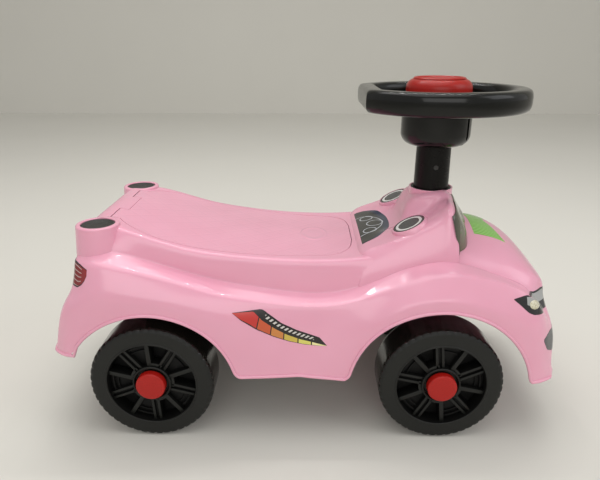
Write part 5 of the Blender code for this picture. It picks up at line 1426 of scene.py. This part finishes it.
cup_inner = CUP_R - CUP_WALL
cup_profile = [(SCREW_BORE_R, CUP_FOOT_Z + CUP_FLOOR), (cup_inner - 0.0050, CUP_FOOT_Z + CUP_FLOOR),
               (cup_inner, CUP_FOOT_Z + CUP_FLOOR + 0.0050), (cup_inner, CUP_TOP_Z),
               (CUP_R, CUP_TOP_Z)]
cup_profile += corner((CUP_R - CUP_ROUND, CUP_FOOT_Z + CUP_ROUND), CUP_ROUND, 0, -85, 10)
cup_profile += [(SPIGOT_R + 0.0045, CUP_FOOT_Z), (SPIGOT_R, CUP_FOOT_Z), (SPIGOT_R, SPIGOT_FOOT_Z),
                (SPIGOT_R - CUP_WALL, SPIGOT_FOOT_Z), (SPIGOT_R - CUP_WALL, CUP_FOOT_Z),
                (SCREW_BORE_R, CUP_FOOT_Z)]
cup = turned("cup_bowl", cup_profile, column_foot, steps=96)
slot = box("slot", (CUP_R - SLOT_DEPTH, -SLOT_HALF, CUP_FOOT_Z - 0.002),
           (CUP_R + 0.01, SLOT_HALF, SLOT_TOP_Z))
lower_slot = box("slot_foot", (CUP_R - 0.0125, -SLOT_HALF, CUP_FOOT_Z - 0.002),
                 (CUP_R + 0.01, SLOT_HALF, CUP_FOOT_Z + 0.0035))
slot = cut(slot, lower_slot, operation="UNION")
slot.data.transform(Matrix.Translation(column_foot) @ Matrix.Rotation(SLOT_TURN, 4, "Z"))
cut(cup, slot)
finish(cup, GLOSS_BLACK, "steering", ["hub_cup"])

# %% [markdown]
# The rim of the steering wheel is a ring of tall rounded-square sections, swept along an
# oval that is cut off flat towards the rider. Each row of the net is one section, square
# to the oval; the last row closes on the first. A torus would be quicker, but neither
# this rim nor its section is round.

# %% Steering wheel rim
RIM_LENGTH, RIM_WIDTH, RIM_FLAT = 0.100, 0.094, 0.086
RIM_THICK, RIM_FOOT_Z, RIM_TOP_Z = 0.021, 0.3490, 0.3735
RIM_SQUARENESS = 3.4
RIM_ROWS, RIM_POINTS = 96, 28


def oval_line():
    length, width = RIM_LENGTH - RIM_THICK / 2, RIM_WIDTH - RIM_THICK / 2
    reach = math.acos(-(RIM_FLAT - RIM_THICK / 2) / length)
    line = []
    for i in range(RIM_ROWS + 1):
        angle = -reach + 2 * reach * i / RIM_ROWS
        line.append(Vector((COLUMN_X + length * math.cos(angle), width * math.sin(angle))))
    a, b = line[-1], line[0]
    return line + [a.lerp(b, share) for share in (0.04, 0.12, 0.3, 0.5, 0.7, 0.88, 0.96)]


def rim_section(u, v):
    """A point of a rounded square, from the cosine and sine of its angle."""
    power = 2 / RIM_SQUARENESS
    return math.copysign(abs(u) ** power, u), math.copysign(abs(v) ** power, v)


oval = oval_line()
rim_rows = []
for i, here in enumerate(oval):
    before, after = oval[i - 1], oval[(i + 1) % len(oval)]
    one, two = (here - before).normalized(), (after - here).normalized()
    run = (one + two).normalized()
    out = Vector((run.y, -run.x)) / max(run.dot(one), 0.7)
    row = []
    for j in range(RIM_POINTS + 1):
        angle = 2 * math.pi * (j + 0.5) / RIM_POINTS
        u, v = rim_section(math.cos(angle), math.sin(angle))
        z = (RIM_FOOT_Z + RIM_TOP_Z) / 2 + v * (RIM_TOP_Z - RIM_FOOT_Z) / 2
        flat = here + out * u * RIM_THICK / 2
        row.append(Vector((flat.x, flat.y, z)))
    rim_rows.append(row)
rim_rows.append(rim_rows[0])
rim = tidy(net("rim", rim_rows), COARSE_WELD)
print("rim:", len(rim.data.polygons), "faces")

# %% [markdown]
# In the middle is a round housing for the horn button. Three flat spokes join it to the
# rim, the widest of them towards the rider. They are bevelled boxes whose ends run into
# the rim and the housing, which hides the joints as the real moulding does.

# %% Steering wheel hub and spokes
PLATE_R, PLATE_TOP_Z, BUTTON_R = 0.0415, 0.3665, 0.0363
plate_foot, plate_floor = CUP_TOP_Z + 0.0003, CUP_TOP_Z + 0.0068
well = BUTTON_R + 0.0006
plate_profile = [(0.0055, plate_floor), (well, plate_floor), (well, PLATE_TOP_Z - 0.0006),
                 (well + 0.0006, PLATE_TOP_Z)]
plate_profile += corner((PLATE_R - 0.0015, PLATE_TOP_Z - 0.0015), 0.0015, 90, 0, 5)
plate_profile += [(PLATE_R + 0.0010, 0.3550), (PLATE_R, plate_foot), (0.0055, plate_foot)]
housing = turned("housing", plate_profile, column_foot, steps=96)
# Two opposite corners of each spoke, (x, y) from the column
WHEEL_SPOKES = [((-0.0135, -0.0840), (0.0135, -0.0390)), ((-0.0135, 0.0390), (0.0135, 0.0840)),
                ((-0.0760, -0.0170), (-0.0390, 0.0170))]
WHEEL_SPOKE_FOOT_Z, WHEEL_SPOKE_TOP_Z = 0.3510, 0.3620
spokes = []
for low, high in WHEEL_SPOKES:
    piece = box("spoke", (COLUMN_X + low[0], low[1], WHEEL_SPOKE_FOOT_Z),
                (COLUMN_X + high[0], high[1], WHEEL_SPOKE_TOP_Z))
    spokes.append(apply(piece, "BEVEL", width=0.0025, segments=4, limit_method="ANGLE"))
steering_wheel = together("steering_wheel_moulding", rim, housing, *spokes)
finish(steering_wheel, GLOSS_BLACK, "steering", ["steering_wheel"])

# %% [markdown]
# The horn button is a red drum with a rounded shoulder, a raised ring and a shallow dish.
# Under it hang its skirt and the stem inside the spring. All of it is round, so it is one
# turned profile, with 3 mm of air over the spring for the stroke.

# %% Horn button
BUTTON_TOP_Z, BUTTON_FOOT_Z, BUTTON_RING_R = 0.3835, 0.3595, 0.0275
BUTTON_ROUND = 0.0100
STEM_R, STEM_FOOT_Z = 0.0050, 0.3495
dish = BUTTON_TOP_Z - 0.0020
under = dish - 0.0009
button_profile = [(0.0, dish), (0.018, dish + 0.0001), (BUTTON_RING_R - 0.0030, dish + 0.0004)]
button_profile += corner((BUTTON_RING_R - 0.0005, BUTTON_TOP_Z - 0.0012), 0.0012, 150, 40, 5)
button_profile += [(BUTTON_RING_R + 0.0014, BUTTON_TOP_Z - 0.0014)]
button_profile += corner((BUTTON_R - BUTTON_ROUND, BUTTON_TOP_Z - 0.0016 - BUTTON_ROUND),
                         BUTTON_ROUND, 80, 0, 9)
inner = BUTTON_R - 0.0020
button_profile += [(BUTTON_R, BUTTON_FOOT_Z), (inner, BUTTON_FOOT_Z),
                   (inner, BUTTON_TOP_Z - 0.0125), (0.0280, under), (STEM_R, under),
                   (STEM_R, STEM_FOOT_Z), (0.0, STEM_FOOT_Z)]
button = turned("horn_button_cap", button_profile, column_foot, steps=96)
finish(button, BUTTON_RED, "button", ["horn_button"], 40)

# %% [markdown]
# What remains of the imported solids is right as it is: axles and their tubes, brackets,
# washers, nuts, screws, the yoke, the bushes, the spring, the sound module and the storage
# box. Finer ones could be modelled, but they hardly show, so they keep their shapes and
# get the plating or the satin black of the real ones. The pin and the screw in the column
# are blackened, so they take the satin black too.

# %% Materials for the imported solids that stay
STEEL_WORDS = ("axle", "nut", "washer", "screw", "pin", "spring")
BLACKENED = ("column_pin", "column_screw")
PLASTIC_WORDS = ("tube", "yoke", "bracket", "bush", "tub", "module")

for name, node in NODES.items():
    if node.hide_render:
        continue
    plastic = any(word in name for word in PLASTIC_WORDS) and "screw" not in name
    steel = any(word in name for word in STEEL_WORDS) and not plastic
    material = ZINC if steel and name not in BLACKENED else HIDDEN_BLACK
    if node.material_slots:
        for place in node.material_slots:
            place.material = material
    else:
        node.data.materials.append(material)
    print(name, "->", material.name)

# %% [markdown]
# The stickers come last, because they lie on the finished body. They could be painted on
# it, but as pieces of their own they have the edge of real vinyl. Each is a fine net whose
# points are dropped onto the body, sunk a tenth of a millimetre and made thicker until it
# stands a fifth proud. The grid it starts from has a UV map, so the print can be drawn in
# the sticker's own coordinates: U runs along it and V across it.

# %% Ways to lay a sticker
STICKER_THICKNESS, SUNK = 0.0003, -0.0001


def spread(line, count):
    """Evenly spaced points along a broken line."""
    line = [Vector(point) for point in line]
    marks = [0.0]
    for a, b in zip(line, line[1:]):
        marks.append(marks[-1] + (b - a).length)
    spots, k = [], 0
    for i in range(count):
        aim = marks[-1] * i / (count - 1)
        while k < len(line) - 2 and marks[k + 1] < aim:
            k += 1
        spots.append(line[k].lerp(line[k + 1], (aim - marks[k]) / (marks[k + 1] - marks[k])))
    return spots


def laid(name, rows, thickness=STICKER_THICKNESS):
    """A net on the body with its thickness outwards."""
    piece = net(name, rows)
    middle = piece.data.polygons[len(piece.data.polygons) // 2]
    found, point, normal, face = body.closest_point_on_mesh(middle.center)
    if middle.normal.dot(normal) < 0:
        flipped(piece)
    return apply(piece, "SOLIDIFY", thickness=thickness, offset=1.0, use_even_offset=True)


def both_sides(piece, material, angle=50):
    """The sticker on the right side of the car and its mirror image on the left."""
    twin = copy_of(piece, piece.name + "_left", TO_LEFT_SIDE)
    piece.name = piece.data.name = piece.name + "_right"
    finish(piece, material, "car_body", angle=angle)
    finish(twin, material, "car_body", angle=angle)


def wrapped(name, table, centre, way, columns, rows):
    """A sticker round a corner: its table has (angle, lowest z, highest z)."""
    spots = spread(table, columns)
    lines = []
    for j in range(rows):
        line = []
        for angle, low, high in spots:
            turn = math.radians(angle)
            origin = (centre[0], centre[1], low + (high - low) * j / (rows - 1))
            line.append(landed(skin, origin, (way * math.cos(turn), -math.sin(turn), 0), SUNK))
        lines.append(line)
    return laid(name, lines)


print("ways to lay a sticker ready")

# %% [markdown]
# The long sticker on the side is read off the photograph as three lines of pixels, its
# lower edge, the top of the coloured blocks and its upper edge. Rays through them meet the
# body. Six blocks go from red to pale yellow; the black band above them has plain pale
# dashes. An outline drawn flat and pushed on would stretch over the bulge of the flank.

# %% Side sticker
SIDE_LOW = [(231.9, 313.3), (240.7, 320.6), (256.7, 329.8), (273.6, 336.7), (288.9, 341.3),
            (304.2, 344.3), (319.5, 345.8), (326.7, 345.9)]
SIDE_MIDDLE = [(231.9, 313.1), (253.7, 310.7), (262.1, 319.8), (275.1, 328.3), (287.3, 334.4),
               (300.3, 339.0), (313.0, 342.0), (326.7, 345.7)]
SIDE_HIGH = [(231.9, 312.9), (246.0, 311.0), (259.8, 309.1), (262.8, 309.5), (281.2, 322.9),
             (296.5, 329.8), (319.5, 337.4), (326.7, 345.5)]
BLOCKS = [(0.0, "C0302A"), (0.29, "C4552F"), (0.44, "C8803F"), (0.577, "C8B04A"),
          (0.72, "D8D068"), (0.855, "E8E0A0")]
BLOCK_GAP = 0.012

side_lines = [spread(line, 61) for line in (SIDE_LOW, SIDE_MIDDLE, SIDE_HIGH)]
side_rows = []
for j in range(13):
    a, b, t = (0, 1, j / 6) if j < 6 else (1, 2, j / 6 - 1)
    pixels = [p.lerp(q, t) for p, q in zip(side_lines[a], side_lines[b])]
    side_rows.append([landed(body, CAMERA_AT, ray_of(pixel), SUNK) for pixel in pixels])

SIDE_PRINT = make_ink("vinyl_print_side", "17120F")
side_uv = add_node(SIDE_PRINT, "ShaderNodeSeparateXYZ", {}, {
    "Vector": add_node(SIDE_PRINT, "ShaderNodeTexCoord", {}, {}).outputs["UV"]})
side_ramp = add_node(SIDE_PRINT, "ShaderNodeValToRGB", {}, {"Fac": side_uv.outputs["X"]})
side_ramp.color_ramp.interpolation = "CONSTANT"
stops = side_ramp.color_ramp.elements
stops[0].color, stops[1].position, stops[1].color = linear(BLOCKS[0][1]), 1.0, linear("17120F")
for start, colour in BLOCKS[1:]:
    stops.new(start - BLOCK_GAP).color = linear("17120F")
    stops.new(start).color = linear(colour)
side_slant = add_node(SIDE_PRINT, "ShaderNodeMath", {"operation": "MULTIPLY_ADD"}, {
    0: side_uv.outputs["Y"], 1: -2.5, 2: 0.0})
side_run = add_node(SIDE_PRINT, "ShaderNodeMath", {"operation": "MULTIPLY_ADD"}, {
    0: side_uv.outputs["X"], 1: 24.0, 2: side_slant.outputs["Value"]})
side_dash = add_node(SIDE_PRINT, "ShaderNodeMath", {"operation": "PINGPONG"}, {
    0: side_run.outputs["Value"], 1: 0.5})
side_mask = add_node(SIDE_PRINT, "ShaderNodeMath", {"operation": "LESS_THAN"}, {
    0: side_dash.outputs["Value"], 1: 0.24})
side_band = add_node(SIDE_PRINT, "ShaderNodeMath", {"operation": "COMPARE"}, {
    0: side_uv.outputs["Y"], 1: 0.77, 2: 0.10})
side_words = add_node(SIDE_PRINT, "ShaderNodeMath", {"operation": "COMPARE"}, {
    0: side_uv.outputs["X"], 1: 0.60, 2: 0.26})
side_both = add_node(SIDE_PRINT, "ShaderNodeMath", {"operation": "MULTIPLY"}, {
    0: side_mask.outputs["Value"], 1: side_band.outputs["Value"]})
side_all = add_node(SIDE_PRINT, "ShaderNodeMath", {"operation": "MULTIPLY"}, {
    0: side_both.outputs["Value"], 1: side_words.outputs["Value"]})
side_upper = add_node(SIDE_PRINT, "ShaderNodeMix", {"data_type": "RGBA"}, {
    "Factor": side_all.outputs["Value"], 6: linear("17120F"), 7: linear("CFCBC4")})
side_is_block = add_node(SIDE_PRINT, "ShaderNodeMath", {"operation": "COMPARE"}, {
    0: side_uv.outputs["Y"], 1: 0.255, 2: 0.215})
side_colour = add_node(SIDE_PRINT, "ShaderNodeMix", {"data_type": "RGBA"}, {
    "Factor": side_is_block.outputs["Value"], 6: side_upper.outputs[2],
    7: side_ramp.outputs["Color"]})
feed(SIDE_PRINT, side_colour.outputs[2], "Base Color")
both_sides(laid("side_sticker", side_rows), SIDE_PRINT)

# %% [markdown]
# A dashboard is printed on the ramp in front of the rider: the shape of a letter box with a
# round belly, dark blue towards its rim, with three small dials and an arc in pale lines.
# It is drawn from above, in metres, and dropped straight down, because the ramp is nearly
# flat and the dials stay round. Each dial is the set of points at one distance from its
# middle, so four rings cost no geometry.

# %% Gauge sticker
GAUGE_BACK_X, GAUGE_HALF, GAUGE_BELLY = 0.0600, 0.0560, 0.0350
GAUGE_DIALS = [((0.0720, -0.0220), 0.0075), ((0.0800, 0.0), 0.0095), ((0.0720, 0.0220), 0.0075),
               ((0.0560, 0.0), 0.0330)]
DIAL_LINE = 0.0006

gauge_rows = []
for i in range(49):
    share = math.sin(math.pi / 2 * (i / 24 - 1))
    reach = 0.001 + GAUGE_BELLY * (1 - abs(share) ** 2.6) ** 0.55
    gauge_rows.append([on_top(body, GAUGE_BACK_X + reach * j / 18, GAUGE_HALF * share, SUNK)
                       for j in range(19)])

GAUGE_PRINT = make_ink("vinyl_print_gauge", "20242C", 0.16)
gauge_uv = add_node(GAUGE_PRINT, "ShaderNodeSeparateXYZ", {}, {
    "Vector": add_node(GAUGE_PRINT, "ShaderNodeTexCoord", {}, {}).outputs["UV"]})
gauge_rim = add_node(GAUGE_PRINT, "ShaderNodeMapRange", {}, {
    "Value": gauge_uv.outputs["X"], "From Min": 0.70, "From Max": 0.86})
gauge_shade = add_node(GAUGE_PRINT, "ShaderNodeMix", {"data_type": "RGBA"}, {
    "Factor": gauge_rim.outputs["Result"], 6: linear("1E1F1E"), 7: linear("1D2A48")})
gauge_place = add_node(GAUGE_PRINT, "ShaderNodeVectorMath", {"operation": "MULTIPLY"}, {
    0: add_node(GAUGE_PRINT, "ShaderNodeTexCoord", {}, {}).outputs["Object"], 1: (1.0, 1.0, 0.0)})
gauge_lines = 0.0
for (x, y), radius in GAUGE_DIALS:
    away = add_node(GAUGE_PRINT, "ShaderNodeVectorMath", {"operation": "DISTANCE"}, {
        0: gauge_place.outputs["Vector"], 1: (x, y, 0.0)})
    on_ring = add_node(GAUGE_PRINT, "ShaderNodeMath", {"operation": "COMPARE"}, {
        0: away.outputs["Value"], 1: radius, 2: DIAL_LINE})
    gauge_lines = add_node(GAUGE_PRINT, "ShaderNodeMath", {"operation": "MAXIMUM"}, {
        0: on_ring.outputs["Value"], 1: gauge_lines}).outputs["Value"]
gauge_colour = add_node(GAUGE_PRINT, "ShaderNodeMix", {"data_type": "RGBA"}, {
    "Factor": gauge_lines, 6: gauge_shade.outputs[2], 7: linear("B9BEC4")})
feed(GAUGE_PRINT, gauge_colour.outputs[2], "Base Color")
finish(laid("gauge_sticker", gauge_rows), GAUGE_PRINT, "car_body", angle=50)

# %% [markdown]
# A green chevron of fine slanted stripes lies across the bonnet. The camera sees its near
# half; the far half mirrors it. The stripes could be cut out one by one, but they are
# finer than the net, so they are a wave along V, tilted by a share of U.

# %% Bonnet sticker
CHEVRON_HALF = 0.0420
chevron_rows = []
for i in range(43):
    share = abs(i / 21 - 1)
    start, end = 0.1905 - 0.0015 * share, 0.2110 + 0.0150 * share
    chevron_rows.append([on_top(body, start + (end - start) * j / 16,
                                CHEVRON_HALF * (i / 21 - 1), SUNK) for j in range(17)])

GREEN_PRINT = make_ink("vinyl_print_green", "6FB63C")
green_uv = add_node(GREEN_PRINT, "ShaderNodeSeparateXYZ", {}, {
    "Vector": add_node(GREEN_PRINT, "ShaderNodeTexCoord", {}, {}).outputs["UV"]})
green_run = add_node(GREEN_PRINT, "ShaderNodeMath", {"operation": "MULTIPLY_ADD"}, {
    0: green_uv.outputs["Y"], 1: 26.0, 2: green_uv.outputs["X"]})
green_wave = add_node(GREEN_PRINT, "ShaderNodeMath", {"operation": "PINGPONG"}, {
    0: green_run.outputs["Value"], 1: 0.5})
green_share = add_node(GREEN_PRINT, "ShaderNodeMapRange", {}, {
    "Value": green_wave.outputs["Value"], "From Min": 0.15, "From Max": 0.35})
green_colour = add_node(GREEN_PRINT, "ShaderNodeMix", {"data_type": "RGBA"}, {
    "Factor": green_share.outputs["Result"], 6: linear("A2CF7A"), 7: linear("66AE38")})
feed(GREEN_PRINT, green_colour.outputs[2], "Base Color")
finish(laid("bonnet_sticker", chevron_rows), GREEN_PRINT, "car_body", angle=50)

# %% [markdown]
# The headlights and tail lights are stickers wrapped round the corners of the body, so they
# are given by angles about an upright axis inside each corner and by heights. A headlight
# is black with a pale upper band. Pixels of the photograph, as on the flank, would not do:
# the camera sees only a part of it, and at a slant.

# %% Headlights
NOSE_AXIS = (0.225, -0.080)
HEADLIGHT = [(107, 0.1688, 0.1696), (100, 0.1649, 0.1706), (94, 0.1611, 0.1713),
             (89, 0.1577, 0.1717), (84, 0.1546, 0.1714), (76, 0.1518, 0.1706),
             (61, 0.1497, 0.1688), (42, 0.1485, 0.1664), (20, 0.1470, 0.1658),
             (5, 0.1475, 0.1655), (-6, 0.1510, 0.1640)]

LIGHT_PRINT = make_ink("vinyl_print_headlight", "1B1A1A", 0.14)
light_uv = add_node(LIGHT_PRINT, "ShaderNodeSeparateXYZ", {}, {
    "Vector": add_node(LIGHT_PRINT, "ShaderNodeTexCoord", {}, {}).outputs["UV"]})
light_band = add_node(LIGHT_PRINT, "ShaderNodeMath", {"operation": "COMPARE"}, {
    0: light_uv.outputs["Y"], 1: 0.66, 2: 0.24})
light_inside = add_node(LIGHT_PRINT, "ShaderNodeMath", {"operation": "COMPARE"}, {
    0: light_uv.outputs["X"], 1: 0.56, 2: 0.38})
light_mask = add_node(LIGHT_PRINT, "ShaderNodeMath", {"operation": "MULTIPLY"}, {
    0: light_band.outputs["Value"], 1: light_inside.outputs["Value"]})
light_colour = add_node(LIGHT_PRINT, "ShaderNodeMix", {"data_type": "RGBA"}, {
    "Factor": light_mask.outputs["Value"], 6: linear("1F1E1F"), 7: linear("A3A4A2")})
feed(LIGHT_PRINT, light_colour.outputs[2], "Base Color")
both_sides(wrapped("headlight_sticker", HEADLIGHT, NOSE_AXIS, 1, 49, 15), LIGHT_PRINT)

# %% [markdown]
# In each headlight sits a small clear lens with fine ribs, about 10 mm across. It could be
# real glass with light bent through it; at this size a pale domed disc with a cell pattern
# looks the same and is a closed piece. Its round outline is laid down along the camera's rays.

# %% Headlight lenses
LENS_PIXEL, LENS_PIXELS = Vector((534.4, 304.8)), 4.6
LENS_RIB = 0.0022
LENS_PROFILE = [(1.0, 0.0001), (1.0, 0.0006), (0.8, 0.0010), (0.5, 0.0013), (0.0, 0.0014)]
LENS_CLEAR = new_finish("clear_styrene_lens", "D9D3B8", 0.08, IOR=1.59, Coat_Weight=0.5)
lens_ribs = add_node(LENS_CLEAR, "ShaderNodeTexVoronoi", {}, {
    "Vector": add_node(LENS_CLEAR, "ShaderNodeTexCoord", {}, {}).outputs["Object"],
    "Scale": 1 / LENS_RIB})
lens_shade = add_node(LENS_CLEAR, "ShaderNodeMix", {"data_type": "RGBA"}, {
    "Factor": lens_ribs.outputs["Distance"], 6: linear("EFEBD6"), 7: linear("A8A078")})
feed(LENS_CLEAR, lens_shade.outputs[2], "Base Color")
lens_rows = []
for share, lift in LENS_PROFILE:
    turns = [math.radians(10 * i) for i in range(37)]
    pixels = [LENS_PIXEL + LENS_PIXELS * share * Vector((math.cos(a), math.sin(a))) for a in turns]
    lens_rows.append([landed(body, CAMERA_AT, ray_of(pixel), lift) for pixel in pixels])
both_sides(capped(net("headlight_lens", lens_rows), COARSE_WELD), LENS_CLEAR, 40)

# %% [markdown]
# A tail light is dark red with five pale slats, and a dark grey patch on each corner of the
# nose stands for an air intake. Both are wrapped like the headlights, because they turn a
# corner too; the slats are printed, so a wave draws them.

# %% Tail lights and nose corners
TAIL_AXIS = (-0.225, -0.085)
TAIL_LIGHT = [(8, 0.1870, 0.1990), (20, 0.1835, 0.2030), (33, 0.1812, 0.2045),
              (50, 0.1797, 0.2040), (63, 0.1793, 0.2027), (72, 0.1828, 0.2010),
              (78, 0.1875, 0.1998), (82, 0.1930, 0.1990)]
NOSE_CORNER = [(58, 0.1195, 0.1225), (50, 0.1080, 0.1260), (40, 0.1045, 0.1275),
               (15, 0.1045, 0.1275), (5, 0.1080, 0.1265)]

TAIL_PRINT = make_ink("vinyl_print_tail_light", "7A1418", 0.16)
tail_uv = add_node(TAIL_PRINT, "ShaderNodeSeparateXYZ", {}, {
    "Vector": add_node(TAIL_PRINT, "ShaderNodeTexCoord", {}, {}).outputs["UV"]})
tail_glow = add_node(TAIL_PRINT, "ShaderNodeMix", {"data_type": "RGBA"}, {
    "Factor": tail_uv.outputs["X"], 6: linear("380A0F"), 7: linear("8E1C22")})
tail_run = add_node(TAIL_PRINT, "ShaderNodeMath", {"operation": "MULTIPLY_ADD"}, {
    0: tail_uv.outputs["Y"], 1: 5.0, 2: tail_uv.outputs["X"]})
tail_wave = add_node(TAIL_PRINT, "ShaderNodeMath", {"operation": "PINGPONG"}, {
    0: tail_run.outputs["Value"], 1: 0.5})
tail_slat = add_node(TAIL_PRINT, "ShaderNodeMath", {"operation": "LESS_THAN"}, {
    0: tail_wave.outputs["Value"], 1: 0.11})
tail_inside = add_node(TAIL_PRINT, "ShaderNodeMath", {"operation": "COMPARE"}, {
    0: tail_uv.outputs["X"], 1: 0.50, 2: 0.34})
tail_mask = add_node(TAIL_PRINT, "ShaderNodeMath", {"operation": "MULTIPLY"}, {
    0: tail_slat.outputs["Value"], 1: tail_inside.outputs["Value"]})
tail_face = add_node(TAIL_PRINT, "ShaderNodeMix", {"data_type": "RGBA"}, {
    "Factor": tail_mask.outputs["Value"], 6: tail_glow.outputs[2], 7: linear("B79C9A")})
tail_middle = add_node(TAIL_PRINT, "ShaderNodeMath", {"operation": "COMPARE"}, {
    0: tail_uv.outputs["Y"], 1: 0.5, 2: 0.44})
tail_colour = add_node(TAIL_PRINT, "ShaderNodeMix", {"data_type": "RGBA"}, {
    "Factor": tail_middle.outputs["Value"], 6: linear("1C1212"), 7: tail_face.outputs[2]})
feed(TAIL_PRINT, tail_colour.outputs[2], "Base Color")
both_sides(wrapped("tail_light_sticker", TAIL_LIGHT, TAIL_AXIS, -1, 37, 17), TAIL_PRINT)
both_sides(wrapped("nose_corner_sticker", NOSE_CORNER, NOSE_AXIS, 1, 25, 9), INK_GREY)

# %% [markdown]
# The studio is a pale floor and a far pale wall, both faintly clouded. A curved backdrop
# would hide the line between them, but its bend would show in views from other sides.

# %% Floor and wall
FLOOR_SIZE, WALL_SIZE, WALL_Y, WALL_FOOT_Z = 40.0, 12.0, 2.8, -0.1
FLOOR_CLOUD = 0.35

bpy.ops.object.select_all(action="DESELECT")
bpy.ops.mesh.primitive_plane_add(size=FLOOR_SIZE)
floor = born("studio_floor")
FLOOR_PAPER = new_finish("studio_floor_paper", "D8D6CE", 0.8)
floor_cloud = add_node(FLOOR_PAPER, "ShaderNodeTexNoise", {}, {
    "Vector": add_node(FLOOR_PAPER, "ShaderNodeTexCoord", {}, {}).outputs["Object"],
    "Scale": 1 / FLOOR_CLOUD, "Detail": 2.0})
floor_shade = add_node(FLOOR_PAPER, "ShaderNodeMix", {"data_type": "RGBA"}, {
    "Factor": floor_cloud.outputs["Fac"], 6: linear("D6D4CC"), 7: linear("DAD8D0")})
feed(FLOOR_PAPER, floor_shade.outputs[2], "Base Color")
bpy.ops.object.select_all(action="DESELECT")
bpy.ops.mesh.primitive_plane_add(
    size=WALL_SIZE, location=(0, WALL_Y, WALL_SIZE / 2 + WALL_FOOT_Z), rotation=(math.pi / 2, 0, 0))
wall = born("studio_wall")
for sheet in (floor, wall):
    sheet.data.materials.append(FLOOR_PAPER)
print("floor and wall:", floor.name, wall.name)

# %% [markdown]
# One large soft lamp hangs overhead, a broad weaker one stands in front and one to the
# right, and the world is an even grey. A single sun would be simpler, but its shadows would
# be hard. Two rows of small ceiling lamps put dotted reflections on the fenders.

# %% Lamps and world
def lamp(name, place, aim, size, power, colour="FFFFFF"):
    bpy.ops.object.select_all(action="DESELECT")
    bpy.ops.object.light_add(type="AREA", location=place)
    light = bpy.context.active_object
    light.name = name
    light.data.shape = "RECTANGLE"
    light.data.size, light.data.size_y = size
    light.data.energy = power
    light.data.color = linear(colour)[:3]
    light.rotation_euler = (Vector(aim) - Vector(place)).to_track_quat("-Z", "Y").to_euler()


# Name, place, width and depth in metres, power in watts, colour
SOFT_LAMPS = [
    ("soft_lamp_above", (-0.2, -0.1, 1.9), (2.0, 1.6), 14.5, "FFFDFB"),
    ("soft_lamp_front", (0.0, -2.4, 1.1), (2.2, 1.2), 13, "FFFDFB"),
    ("soft_lamp_right", (1.5, -0.5, 1.2), (1.0, 1.0), 5, "F8FAFF"),
]
SPOT_ROWS, SPOTS_IN_ROW, SPOT_SIZE, SPOT_POWER = 2, 8, 0.03, 0.6

for name, place, size, power, colour in SOFT_LAMPS:
    lamp(name, place, (0, 0, 0.1), size, power, colour)
for row in range(SPOT_ROWS):
    for i in range(SPOTS_IN_ROW):
        place = (-0.75 + 0.22 * i, 0.48 + 0.47 * row, 1.9)
        lamp(f"ceiling_spot_{row}_{i}", place, (place[0] / 2, 0, 0.2), (SPOT_SIZE, SPOT_SIZE),
             SPOT_POWER)
world = bpy.data.worlds.new("studio_grey")
bpy.context.scene.world = world
world.use_nodes = True
world.node_tree.nodes["Background"].inputs["Color"].default_value = linear("DAD9D8")
world.node_tree.nodes["Background"].inputs["Strength"].default_value = 0.78
bpy.context.scene.view_settings.view_transform = "Standard"

# %% Finish
bpy.data.objects.remove(skin)
print("packed box:", [[round(c, 4) for c in p] for p in CAD_BOX])
